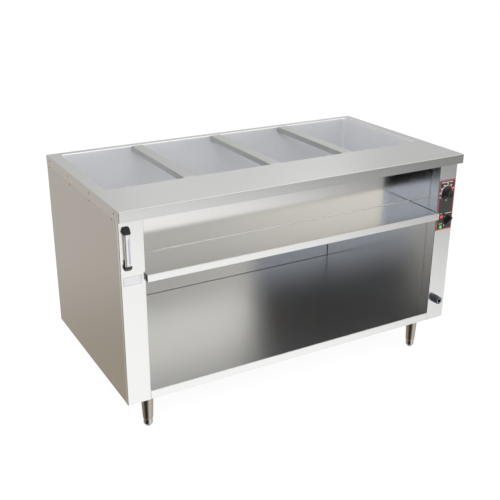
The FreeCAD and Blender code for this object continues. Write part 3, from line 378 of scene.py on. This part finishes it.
others = {
    "foot_metal": moulded("foot_metal", (0.62, 0.60, 0.57), 0.30, metallic=1.0, tint_share=0.10),
    "insulation": moulded("insulation", (0.74, 0.66, 0.42), 0.90, pebble=0.8),
    "element_metal": moulded("element_metal", (0.36, 0.33, 0.30), 0.45, metallic=1.0, tint_share=0.35),
    "panel_face": moulded("panel_face", (0.042, 0.039, 0.036), 0.38, pebble=0.05),
    "knob_plastic": moulded("knob_plastic", (0.012, 0.012, 0.012), 0.27),
    "spindle_metal": moulded("spindle_metal", (0.60, 0.60, 0.60), 0.30, metallic=1.0, tint_share=0.08),
    "case_plastic": moulded("case_plastic", (0.52, 0.48, 0.40), 0.50),
    "capillary_copper": moulded("capillary_copper", (0.72, 0.42, 0.28), 0.32, metallic=1.0),
    "terminal_plastic": moulded("terminal_plastic", (0.66, 0.64, 0.58), 0.50),
    "gland_plastic": moulded("gland_plastic", (0.035, 0.040, 0.050), 0.36),
    "seal_rubber": moulded("seal_rubber", (0.02, 0.02, 0.02), 0.75, pebble=0.4),
    "gauge_plastic": moulded("gauge_plastic", (0.013, 0.013, 0.015), 0.28),
    "guard_aluminium": moulded("guard_aluminium", (0.84, 0.84, 0.85), 0.50, metallic=0.35, tint_share=0.05),
    "pipe_brass": moulded("pipe_brass", (0.72, 0.55, 0.28), 0.32, metallic=1.0),
    "lever_coat": moulded("lever_coat", (0.52, 0.045, 0.035), 0.38),
    "label_film": moulded("label_film", (0.68, 0.69, 0.71), 0.45, pebble=0.05, tint_share=0.06),
    "rivet_metal": moulded("rivet_metal", (0.30, 0.29, 0.27), 0.38, metallic=1.0, tint_share=0.08),
    "thermometer_glass": moulded("thermometer_glass", (0.44, 0.48, 0.58), 0.25, pebble=0.02),
}
print("finishes:", len(others))

# %% [markdown]
# The leg tubes are satin steel that mirrors the brown side of the room, and their scratches run round
# the tube. Their base colour is tinted brown as well, and that brown is painted reflection of the room.
# The lamp lenses are tinted clear plastic: a glass shader with a coloured base. The gauge's front is a
# clear moulding over the thermometer.

# %% Legs, lenses and clear parts
round_tube = (60.0, 60.0, 160.0)
# painted reflection: the brown tint of this base colour stands for the brown room mirrored in the tubes
brown_reflection_legs = steel("leg_steel", (0.54, 0.48, 0.41), 0.36, round_tube, cloud_size=14.0)
wave_scale = 60.0
wave_height = 0.0005
wave_strength = 0.04


def clear_plastic(name, colour, transmission, roughness=0.15, ior=1.49):
    """Tinted clear plastic with faint waviness."""
    finish, tree, shader = new_finish(name)
    place = wire(tree, "ShaderNodeTexCoord").outputs["Object"]
    inputs = {"Vector": place, "Scale": wave_scale, "Detail": 1.0}
    waves = wire(tree, "ShaderNodeTexNoise", inputs).outputs["Fac"]
    tint = blend(tree, waves, shade(colour, 0.12), shade(colour))
    tree.links.new(tint, shader.inputs["Base Color"])
    tree.links.new(around(tree, waves, roughness, 0.2), shader.inputs["Roughness"])
    shader.inputs["IOR"].default_value = ior
    shader.inputs["Transmission Weight"].default_value = transmission
    inputs = {"Strength": wave_strength, "Distance": wave_height, "Height": waves}
    tree.links.new(wire(tree, "ShaderNodeBump", inputs).outputs[0], shader.inputs["Normal"])
    return finish


clears = {
    "leg_steel": brown_reflection_legs,
    "red_lens": clear_plastic("red_lens", (0.92, 0.12, 0.085), transmission=0.08),
    "green_lens": clear_plastic("green_lens", (0.17, 0.68, 0.20), transmission=0.08),
    "gauge_clear": clear_plastic("gauge_clear", (0.90, 0.91, 0.92), transmission=0.22),
}
print("clear finishes:", sorted(clears))

# %% [markdown]
# The collar that turns down into the wells is matt like the tank, while the rest of the worktop is
# brushed. Both are one sheet, so its finish changes over a mask: inside the opening and below the
# top surface it is rougher, paler and less metallic.

# %% The matt collar of the worktop
fold_start = 0.0190
fold_end = 0.0165
tank_lo, tank_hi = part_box("tank")
tank_middle = (tank_lo + tank_hi) / 2
tank_half = (tank_hi - tank_lo) / 2
tree = steels["worktop_steel"].node_tree
shader = tree.nodes["Principled BSDF"]
place = wire(tree, "ShaderNodeSeparateXYZ", {0: wire(tree, "ShaderNodeTexCoord").outputs["Object"]}).outputs


def inside(value, middle, half):
    """1 where a coordinate is within a half width of a middle."""
    off = wire(tree, "ShaderNodeMath", {0: value, 1: middle}, operation="SUBTRACT").outputs[0]
    return wire(tree, "ShaderNodeMath", {0: off, 1: 0.0, 2: half}, operation="COMPARE").outputs[0]


def times(first, second):
    """The part where both masks hold."""
    return wire(tree, "ShaderNodeMath", {0: first, 1: second}, operation="MULTIPLY").outputs[0]


opening = times(inside(place[0], tank_middle.x, tank_half.x), inside(place[1], tank_middle.y, tank_half.y))
below = ramp(tree, place[2], tank_hi.z + fold_start, tank_hi.z + fold_end)
collar = times(opening, below)
for label, matt in (("Metallic", matt_metallic), ("Roughness", matt_roughness)):
    socket = shader.inputs[label]
    usual = socket.links[0].from_socket if socket.links else socket.default_value
    mix = wire(tree, "ShaderNodeMix", {0: collar, 2: usual, 3: matt}, data_type="FLOAT")
    tree.links.new(mix.outputs[0], socket)
usual = shader.inputs["Base Color"].links[0].from_socket
tree.links.new(blend(tree, collar, usual, shade(matt_colour)), shader.inputs["Base Color"])
print("collar below", round(tank_hi.z + fold_end, 4), "m")

# %% Give every frame piece its finish
finishes = {**steels, **others, **clears}
slot_of = {part["node"]: part["material_slot"] for part in frame["record"]["subparts"]}
for name, node in nodes.items():
    for holder in node.material_slots:
        holder.material = finishes[slot_of[name]]
print("dressed:", len(nodes), "unused:", sorted(set(finishes) - set(slot_of.values())))

# %% [markdown]
# ## How the small pieces are made
# Each piece starts from a primitive that is put in its place, then faces or edges are picked by
# where they are and worked with the same operators as by hand. A few helpers keep the cells short:
# they clear the selection, pick faces, round edges, open the middle of a plate, and end a piece with
# its name, finish and body.

# %% Helpers for modelling
sharp_angle = radians(30)
nearly = 0.9
quite = 0.999


def start_piece():
    """Nothing is selected, so the next operator works on the new piece alone."""
    if bpy.context.object and bpy.context.object.mode != "OBJECT":
        bpy.ops.object.mode_set(mode="OBJECT")
    bpy.ops.object.select_all(action="DESELECT")


def pick(test, kind="FACE"):
    """Selects the faces, edges or points of the active piece whose middle passes a test."""
    piece = bpy.context.object
    bpy.ops.object.mode_set(mode="EDIT")
    bpy.ops.mesh.select_mode(type=kind)
    bpy.ops.mesh.select_all(action="DESELECT")
    bpy.ops.object.mode_set(mode="OBJECT")
    mesh = piece.data
    if kind == "FACE":
        for face in mesh.polygons:
            face.select = test(face.center, face.normal)
    elif kind == "EDGE":
        for edge in mesh.edges:
            ends = [mesh.vertices[k].co for k in edge.vertices]
            edge.select = test((ends[0] + ends[1]) / 2, (ends[1] - ends[0]).normalized())
    else:
        for point in mesh.vertices:
            point.select = test(point.co, point.normal)
    bpy.ops.object.mode_set(mode="EDIT")


def end_piece(name, finish, body, bevel=0.0, smooth=35, segments=2):
    """Leaves edit mode, rounds the sharp edges, and sets name, finish and body."""
    if bpy.context.object.mode != "OBJECT":
        bpy.ops.object.mode_set(mode="OBJECT")
    piece = bpy.context.object
    bpy.ops.object.transform_apply(location=True, rotation=True, scale=True)
    if bevel:
        rounding = piece.modifiers.new("rounding", "BEVEL")
        rounding.width = bevel
        rounding.segments = segments
        rounding.angle_limit = sharp_angle
        bpy.ops.object.modifier_apply(modifier=rounding.name)
    bpy.ops.object.shade_smooth_by_angle(angle=radians(smooth))
    piece.name = name
    piece.data.materials.clear()
    piece.data.materials.append(finishes[finish])
    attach(piece, body)
    print(name, len(piece.data.polygons), "faces")
    return piece


def facing_front(centre, normal):
    """Passes the faces that look to the front."""
    return normal.y < -nearly


def lies_along(axis):
    """A test that passes faces that look along an axis, either way, or edges that run along it."""
    return lambda centre, way: abs(getattr(way, axis)) > nearly


def everything(centre, normal):
    """Passes all faces."""
    return True


def angle_about(off, first, second):
    """The angle in degrees, 0 to 360, of an offset in the plane of two axes."""
    flat = Vector((getattr(off, first), getattr(off, second)))
    return Vector((1, 0)).angle_signed(flat, 0) * 180 / pi % 360


def apply_place():
    """Puts the place, turn and size of a new primitive into its mesh."""
    bpy.ops.object.transform_apply(location=True, rotation=True, scale=True)


def add_box(lo, hi):
    """A block between two corners, its place already in its mesh."""
    start_piece()
    bpy.ops.mesh.primitive_cube_add(size=1, location=(Vector(lo) + Vector(hi)) / 2)
    bpy.context.object.scale = Vector(hi) - Vector(lo)
    apply_place()


def add_rod(place, radius, length, sides=48):
    """A round rod along Y whose front end is at a place."""
    start_piece()
    middle = Vector(place) + Vector((0, length / 2, 0))
    bpy.ops.mesh.primitive_cylinder_add(
        vertices=sides, radius=radius, depth=length, location=middle, rotation=(pi / 2, 0, 0)
    )
    apply_place()


def round_edges(axis, size):
    """Bevels the edges of the active piece that run along an axis."""
    pick(lies_along(axis), "EDGE")
    bpy.ops.mesh.bevel(offset=size, segments=2)


def open_middle(axis, middle, width, reach):
    """Insets the two faces across an axis and joins them, so that a plate becomes a frame."""
    pick(lies_along(axis))
    bpy.ops.mesh.inset(thickness=width, depth=0, use_individual=True)
    across = lies_along(axis)

    def near_middle(centre, normal):
        off = centre - middle
        setattr(off, axis, 0)
        return across(centre, normal) and max(abs(part) for part in off) < reach

    pick(near_middle)
    bpy.ops.mesh.bridge_edge_loops()


# %% [markdown]
# ## Panel print
# The control panel carries a red border, a white and red scale round the thermostat, plain
# temperature numbers, and marks for the switch. They are printed, so each is a thin raised film on
# the front of the plate.

# %% Ink finishes
inks = {
    "red_ink": moulded("red_ink", (0.78, 0.14, 0.12), 0.38, pebble=0.05),
    "white_ink": moulded("white_ink", (0.86, 0.86, 0.85), 0.40, pebble=0.05, tint_share=0.06),
    "frame_ink": moulded("frame_ink", (0.56, 0.105, 0.092), 0.40, pebble=0.05),
}
finishes.update(inks)
ink = 0.00015
panel_lo, panel_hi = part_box("control_panel")
knob_lo, knob_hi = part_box("thermostat_knob")
dial_centre = (knob_lo + knob_hi) / 2
panel_middle = (panel_lo + panel_hi) / 2
panel_size = panel_hi - panel_lo
ink_front = panel_lo.y - ink
print("panel", round(panel_size.x, 4), "by", round(panel_size.z, 4), "m")

# %% The red border
border = 0.0036
edge = 0.0006
border_lo = (panel_lo.x + edge, ink_front, panel_lo.z + edge)
border_hi = (panel_hi.x - edge, panel_lo.y, panel_hi.z - edge)
add_box(border_lo, border_hi)
open_middle("y", panel_middle, border, border)
end_piece("panel_border", "frame_ink", "table")

# %% [markdown]
# The scale is two arcs round the knob: white over the cooler half and red over the hot one. Each
# starts as a disc in front of the panel. Insetting its face leaves a ring, and the parts of the ring
# outside the arc are deleted.

# %% The white and red arcs
arc_radius = 0.0328
arc_width = 0.0027
arc_sides = 120


def scale_arc(name, finish, first, last):
    """Part of a flat ring round the dial between two angles, counted from +X towards +Z."""
    start_piece()
    place = (dial_centre.x, ink_front, dial_centre.z)
    bpy.ops.mesh.primitive_circle_add(
        vertices=arc_sides, radius=arc_radius, fill_type="NGON", location=place, rotation=(pi / 2, 0, 0)
    )
    apply_place()
    pick(everything)
    bpy.ops.mesh.inset(thickness=arc_width, depth=0)

    def outside(centre, normal):
        reach = centre - Vector(place)
        turn = -angle_about(reach, "x", "z") % 360
        return reach.length < arc_radius / 2 or not first <= turn <= last

    pick(outside)
    bpy.ops.mesh.delete(type="FACE")
    pick(everything)
    bpy.ops.mesh.extrude_region_move(TRANSFORM_OT_translate={"value": (0, ink, 0)})
    bpy.ops.mesh.select_all(action="SELECT")
    bpy.ops.mesh.normals_make_consistent(inside=False)
    end_piece(name, finish, "table")


scale_arc("scale_arc_cool", "white_ink", first=90, last=190)
scale_arc("scale_arc_hot", "red_ink", first=0, last=90)

# %% [markdown]
# Numbers are text objects turned into meshes: a mesh can be placed, exported and shaded like any
# other piece, a text can't. They are the plain temperatures of any such thermostat, and 0 and 1 for
# the switch.

# %% Numbers round the dial and at the switch
number_ring = 0.0375
number_height = 0.0078
boldness = 0.03
first_angle = 207
number_step = 30
dial_off_drop = 0.0325
switch_marks = {"1": (-0.0006, 0.1611), "0": (-0.0003, 0.2002)}


def print_text(name, words, x, z):
    """Flat lettering on the panel, centred on a place."""
    start_piece()
    bpy.ops.object.text_add(location=(x, ink_front, z), rotation=(pi / 2, 0, 0))
    letters = bpy.context.object
    letters.data.body = words
    letters.data.size = number_height
    letters.data.align_x = "CENTER"
    letters.data.align_y = "CENTER"
    letters.data.extrude = ink / 3
    letters.data.offset = number_height * boldness
    letters.data.resolution_u = 3
    bpy.ops.object.convert(target="MESH")
    end_piece(name, "white_ink", "table")


temperatures = ("30", "40", "50", "60", "70", "80", "90")
for step, words in enumerate(temperatures):
    angle = radians(first_angle - number_step * step)
    x = dial_centre.x + number_ring * cos(angle)
    z = dial_centre.z + number_ring * sin(angle)
    print_text("dial_number_" + words, words, x, z)
print_text("dial_number_0", "0", dial_centre.x, dial_centre.z - dial_off_drop)
for words, (offset, drop) in switch_marks.items():
    print_text("switch_mark_" + words, words, panel_middle.x + offset, panel_hi.z - drop)

# %% [markdown]
# Plain rows of short white dashes stand above the dial, the switch and the lamps. One dash is a
# small block with bevelled corners; the rest are copies of it with their own meshes.

# %% Rows of white dashes
def copy_piece(piece, name, shift):
    """The same piece somewhere else, with its own mesh."""
    start_piece()
    twin = piece.copy()
    twin.data = piece.data.copy()
    bpy.context.scene.collection.objects.link(twin)
    twin.data.transform(Matrix.Translation(shift))
    twin.name = name
    return twin


def dash_row(name, offset, drop, count, length, height, gap):
    """A row of dashes that starts at an offset from the panel's left and a drop from its top."""
    x = panel_lo.x + offset
    z = panel_hi.z - drop
    add_box((x, ink_front, z - height / 2), (x + length, panel_lo.y, z + height / 2))
    round_edges("y", height * 0.3)
    first = end_piece(name + "_1", "white_ink", "table")
    for step in range(1, count):
        copy_piece(first, name + "_" + str(step + 1), (step * (length + gap), 0, 0))


dash_row("heading_dash", offset=0.0105, drop=0.0099, count=12, length=0.0042, height=0.0030, gap=0.0009)
dash_row("switch_dash", offset=0.0443, drop=0.1467, count=7, length=0.0040, height=0.0026, gap=0.0009)
dash_row("red_lamp_dash", offset=0.0160, drop=0.1448, count=3, length=0.0030, height=0.0020, gap=0.0008)
dash_row("green_lamp_dash", offset=0.0145, drop=0.1900, count=4, length=0.0037, height=0.0024, gap=0.0009)

# %% [markdown]
# ## Thermostat knob
# The knob is turned in black plastic: a wide cone that slopes up to a narrow grip with a flat front.
# Its grip has shallow flutes for the fingers and a fine white line runs down the skirt. The front of
# a cylinder with many sides is scaled to make the cone and drawn out to make the grip, and every
# fourth side face of the grip is pushed in to make the flutes. It replaces the frame's plain knob.

# %% Turn the knob
knob_sides = 72
skirt_radius = 0.0275
skirt_depth = 0.0075
skirt_slope = 0.80
skirt_flat = 0.0055
grip_chamfer = (0.0010, 0.0012)
grip_dish = (0.0020, 0.0005)
skirt_top = knob_hi.y - skirt_depth
skirt_place = (dial_centre.x, skirt_top, dial_centre.z)
grip_length = skirt_top - knob_lo.y - grip_chamfer[1]
add_rod(skirt_place, skirt_radius, skirt_depth, sides=knob_sides)
pick(facing_front)
bpy.ops.transform.resize(value=(skirt_slope, 1, skirt_slope), center_override=skirt_place)
bpy.ops.mesh.inset(thickness=skirt_flat, depth=0)
bpy.ops.mesh.extrude_region_move(TRANSFORM_OT_translate={"value": (0, -grip_length, 0)})
bpy.ops.mesh.inset(thickness=grip_chamfer[0], depth=0)
bpy.ops.transform.translate(value=(0, -grip_chamfer[1], 0))
bpy.ops.mesh.inset(thickness=grip_dish[0], depth=0)
bpy.ops.transform.translate(value=(0, grip_dish[1], 0))

# %% Press the flutes into the grip
face_turn = 360 / knob_sides
flute_step = 4
flute_rim = 0.00025
flute_depth = 0.04
grip_front = knob_lo.y + 0.002
grip_back = skirt_top - 0.001


def flute(centre, normal):
    """Every fourth side face of the grip."""
    turn = angle_about(centre - dial_centre, "x", "z")
    on_grip = grip_front < centre.y < grip_back and not lies_along("y")(centre, normal)
    return on_grip and int(turn / face_turn) % flute_step == 0


pick(flute)
bpy.ops.mesh.inset(thickness=flute_rim, depth=0)
pressed = (1 - flute_depth, 1, 1 - flute_depth)
bpy.ops.transform.resize(value=pressed, center_override=tuple(dial_centre))
thermostat_grip = end_piece("thermostat_grip", "knob_plastic", "thermostat_dial", bevel=0.0004)
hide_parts("thermostat_knob")

# %% The white line on the knob
line_width = 0.0014
line_height = 0.0002
line_far = 0.0215
line_near = 0.0185
line_lo = (dial_centre.x - line_width / 2, skirt_top - line_height, dial_centre.z - line_far)
line_hi = (dial_centre.x + line_width / 2, skirt_top + line_height, dial_centre.z - line_near)
add_box(line_lo, line_hi)
round_edges("y", 0.0003)
end_piece("knob_line", "white_ink", "thermostat_dial")

# %% [markdown]
# ## Lamps
# Each pilot lamp sits in a thin black ring. The ring is a short rod whose two ends are inset and
# joined, so that the lens stands in its opening.

# %% Rings round the lamps
ring_sides = 64
lamp_ring = {"radius": 0.0091, "length": 0.0014, "width": 0.0010}


def flat_ring(name, finish, place, radius, length, width):
    """A ring along Y whose front is at a place."""
    add_rod(place, radius, length, sides=ring_sides)
    open_middle("y", Vector(place), width, width)
    end_piece(name, finish, "table", bevel=length / 5)


for colour in ("red", "green"):
    lens_lo, lens_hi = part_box(colour + "_lamp")
    lens_middle = (lens_lo + lens_hi) / 2
    ring_place = (lens_middle.x, panel_lo.y - lamp_ring["length"], lens_middle.z)
    flat_ring(colour + "_lamp_ring", "knob_plastic", ring_place, **lamp_ring)

# %% [markdown]
# ## Level gauge
# The guard beside the gauge glass is a bent strip. Its left wing shows brown where it mirrors the brown
# side of the room, and that brown is painted reflection: a thin bar with rounded corners that is set on
# the wing's front.

# %% The guard's brown edge
# painted reflection: this brown stands for the brown room mirrored in the guard's left wing
finishes["painted_reflection_brown"] = moulded("painted_reflection_brown", (0.17, 0.115, 0.05), 0.45)
edge_width = 0.0036
edge_proud = 0.0006
edge_depth = 0.0016
edge_inset = 0.0002
guard_lo, guard_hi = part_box("gauge_guard")
edge_lo = (guard_lo.x + edge_inset, guard_lo.y - edge_proud, guard_lo.z + edge_inset)
edge_hi = (guard_lo.x + edge_width, guard_lo.y + edge_depth, guard_hi.z - edge_inset)
add_box(edge_lo, edge_hi)
round_edges("z", 0.0003)
end_piece("gauge_guard_edge", "painted_reflection_brown", "table")

# %% [markdown]
# ## Label
# The label on the left upright is a thin film with a printed grey frame. The frame is a thin block
# whose front and back are inset alike and joined, so that its middle is open.

# %% The label's frame
finishes["label_grey"] = moulded("label_grey", (0.42, 0.42, 0.43), 0.45, pebble=0.05)
label_margin = 0.0016
label_line = 0.0009
label_lo, label_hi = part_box("info_label")
frame_lo = (label_lo.x + label_margin, label_lo.y - ink, label_lo.z + label_margin)
frame_hi = (label_hi.x - label_margin, label_lo.y, label_hi.z - label_margin)
add_box(frame_lo, frame_hi)
open_middle("y", (label_lo + label_hi) / 2, label_line, label_margin)
end_piece("label_frame", "label_grey", "table")

# %% [markdown]
# ## Joints inside the compartments
# Where liner sheets meet, each inside corner has a thin bead. The one behind the plate shelf is a
# pale seal. The others are dark: painted shade that stands for the shadow in the gap at each joint.
# A bead starts as a square bar in the corner, and its free edge is bevelled hollow.

# %% Beads in the corners
# painted shade: this dark finish stands for the shadow in the gap at each joint
finishes["painted_shade_bead"] = moulded("painted_shade_bead", (0.045, 0.043, 0.040), 0.60, pebble=0.3)
finishes["bead_pale"] = moulded("bead_pale", (0.90, 0.88, 0.84), 0.45, pebble=0.1)
niche_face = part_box("niche_back_panel")[0].y
liner_lo, liner_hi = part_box("inner_back_panel")
shelf_lo, shelf_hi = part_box("mid_shelf")
floor_lo, floor_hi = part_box("bottom_shelf")
wall_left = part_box("left_inner_wall")[1].x
wall_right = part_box("right_inner_wall")[0].x
front_face = floor_lo.y
hollow_share = 0.9
hollow_curve = 0.2
print("liner is", round(wall_right - wall_left, 4), "m wide inside")


def bead(name, finish, lo, hi, free, size):
    """A bar in an inside corner whose free edge, at a place, is bevelled hollow."""
    add_box(lo, hi)
    pick(lambda centre, along: (centre - Vector(free)).length < size / 2, "EDGE")
    bpy.ops.mesh.bevel(offset=size * hollow_share, segments=4, profile=hollow_curve)
    end_piece(name, finish, "table")


# %% Beads between the floors and the backs
pale_size = 0.0026
dark_size = 0.0016


def bead_along_x(name, finish, y, z, size):
    """A bead in the corner between a floor and a back."""
    free = ((wall_left + wall_right) / 2, y - size, z + size)
    bead(name, finish, (wall_left, y - size, z), (wall_right, y, z + size), free, size)


bead_along_x("niche_bead", "bead_pale", niche_face, shelf_hi.z, pale_size)
bead_along_x("floor_bead", "painted_shade_bead", liner_lo.y, floor_hi.z, dark_size)

# %% Beads at the side walls
for side, wall, inward in (("left", wall_left, 1), ("right", wall_right, -1)):
    free_x = wall + inward * dark_size
    low_x, high_x = sorted((wall, free_x))
    lo = (low_x, liner_lo.y - dark_size, floor_hi.z + dark_size)
    hi = (high_x, liner_lo.y, liner_hi.z)
    free = (free_x, liner_lo.y - dark_size, (floor_hi.z + liner_hi.z) / 2)
    bead("corner_bead_" + side, "painted_shade_bead", lo, hi, free, dark_size)
    lo = (low_x, front_face, shelf_hi.z)
    hi = (high_x, niche_face, shelf_hi.z + dark_size)
    free = (free_x, (front_face + niche_face) / 2, shelf_hi.z + dark_size)
    bead("shelf_bead_" + side, "painted_shade_bead", lo, hi, free, dark_size)

# %% [markdown]
# The folded lip of the plate shelf is a hollow channel. Its two open ends are closed with black
# plugs, which show as a short dark bar where the lip meets the upright. One is modelled, with its
# end faces inset and dished, and the other is its copy.

# %% Plugs in the ends of the shelf lip
sheet = 0.001
plug_depth = 0.004
plug_rim = 0.0018
plug_dish = 0.0006
plug_lo = (shelf_lo.x, shelf_lo.y + sheet, shelf_lo.z + sheet)
plug_hi = (shelf_lo.x + plug_depth, front_face, shelf_hi.z - sheet)
add_box(plug_lo, plug_hi)
pick(lies_along("x"))
bpy.ops.mesh.inset(thickness=plug_rim, depth=-plug_dish, use_individual=True)
plug = end_piece("lip_plug_left", "seal_rubber", "table", bevel=0.0003)
copy_piece(plug, "lip_plug_right", (shelf_hi.x - shelf_lo.x - plug_depth, 0, 0))

# %% [markdown]
# ## Cable gland
# The cap is turned: its front edge is rounded, and a pale ring is let into its face round the bore.
# It takes the place of the frame's plain cap.

# %% Turn the gland's cap and set its ring
finishes["ring_grey"] = moulded("ring_grey", (0.50, 0.51, 0.53), 0.40, pebble=0.05)
bore_radius = 0.0095
bore_depth = 0.013
ring_depth = 0.0004
ring_width = 0.0016
cap_round = 0.0028
gland_lo, gland_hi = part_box("gland_cap")
gland_middle = (gland_lo + gland_hi) / 2
cap_radius = (gland_hi.x - gland_lo.x) / 2
cap_place = (gland_middle.x, gland_lo.y, gland_middle.z)
ring_radius = bore_radius + ring_width
add_rod(cap_place, cap_radius, gland_hi.y - gland_lo.y, sides=ring_sides)
pick(facing_front)
bpy.ops.mesh.bevel(offset=cap_round, segments=4)
pick(lambda centre, normal: normal.y < -quite)
bpy.ops.mesh.inset(thickness=cap_radius - cap_round - ring_radius, depth=0)
bpy.ops.transform.translate(value=(0, ring_depth, 0))
bpy.ops.mesh.inset(thickness=ring_width, depth=0)
bpy.ops.mesh.extrude_region_move(TRANSFORM_OT_translate={"value": (0, bore_depth, 0)})
gland_cap = end_piece("gland_cap_turned", "gland_plastic", "table")
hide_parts("gland_cap")
flat_ring("gland_ring", "ring_grey", cap_place, ring_radius, ring_depth, ring_width)

# %% [markdown]
# ## Fixings of the base and the back
# Each leg's tube is welded to its plate: a ring whose every third segment is a little fuller gives
# the ripple of a weld. The back panel is held by pan head screws with a dished face. One weld and one
# screw are modelled and the rest are copies.

# %% Welds at the legs
finishes["weld"] = moulded("weld", (0.42, 0.39, 0.35), 0.40, pebble=0.3, metallic=1.0)
weld_radius = 0.0255
weld_size = 0.0017
weld_segments = 60
weld_swell = 1.02
weld_step = 3
plate_sheet = 0.003
leg_lo, leg_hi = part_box("leg_front_left")
leg_middle = (leg_lo + leg_hi) / 2
weld_place = Vector((leg_middle.x, leg_middle.y, leg_hi.z - plate_sheet - weld_size / 2))
start_piece()
bpy.ops.mesh.primitive_torus_add(
    major_radius=weld_radius,
    minor_radius=weld_size,
    major_segments=weld_segments,
    minor_segments=8,
    location=weld_place,
)
apply_place()


def weld_ripple(point, normal):
    """The points of every third segment round the ring."""
    turn = angle_about(point - weld_place, "x", "y")
    return round(turn * weld_segments / 360) % weld_step == 0


pick(weld_ripple, "VERT")
bpy.ops.transform.resize(value=(weld_swell, weld_swell, 1), center_override=tuple(weld_place))
weld = end_piece("weld_front_left", "weld", "table", smooth=60)
for leg in ("front_right", "rear_left", "rear_right"):
    lo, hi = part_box("leg_" + leg)
    copy_piece(weld, "weld_" + leg, (lo + hi) / 2 - leg_middle)

# %% Screws in the back panel
screw_radius = 0.0042
screw_head = 0.0010
screw_rim = 0.0010
screw_dish = 0.0005
screw_inset = 0.008
screw_low_gap = 0.025
screw_high_gap = 0.02
columns = 4
rows = 3
back_lo, back_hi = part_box("back_panel")
screw_low = back_lo.z + screw_low_gap
screw_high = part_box("worktop")[0].z - screw_high_gap
add_rod((back_lo.x + screw_inset, back_hi.y, screw_low), screw_radius, screw_head, sides=32)
pick(lambda centre, normal: normal.y > nearly)
bpy.ops.mesh.inset(thickness=screw_rim, depth=0)
bpy.ops.mesh.inset(thickness=screw_rim, depth=0)
bpy.ops.transform.translate(value=(0, -screw_dish, 0))
screw = end_piece("back_screw_1", "rivet_metal", "table")
column_step = (back_hi.x - back_lo.x - 2 * screw_inset) / (columns - 1)
row_step = (screw_high - screw_low) / (rows - 1)
for number in range(1, columns * rows):
    shift = (number % columns * column_step, 0, number // columns * row_step)
    copy_piece(screw, "back_screw_" + str(number + 1), shift)
print("screws:", columns * rows)
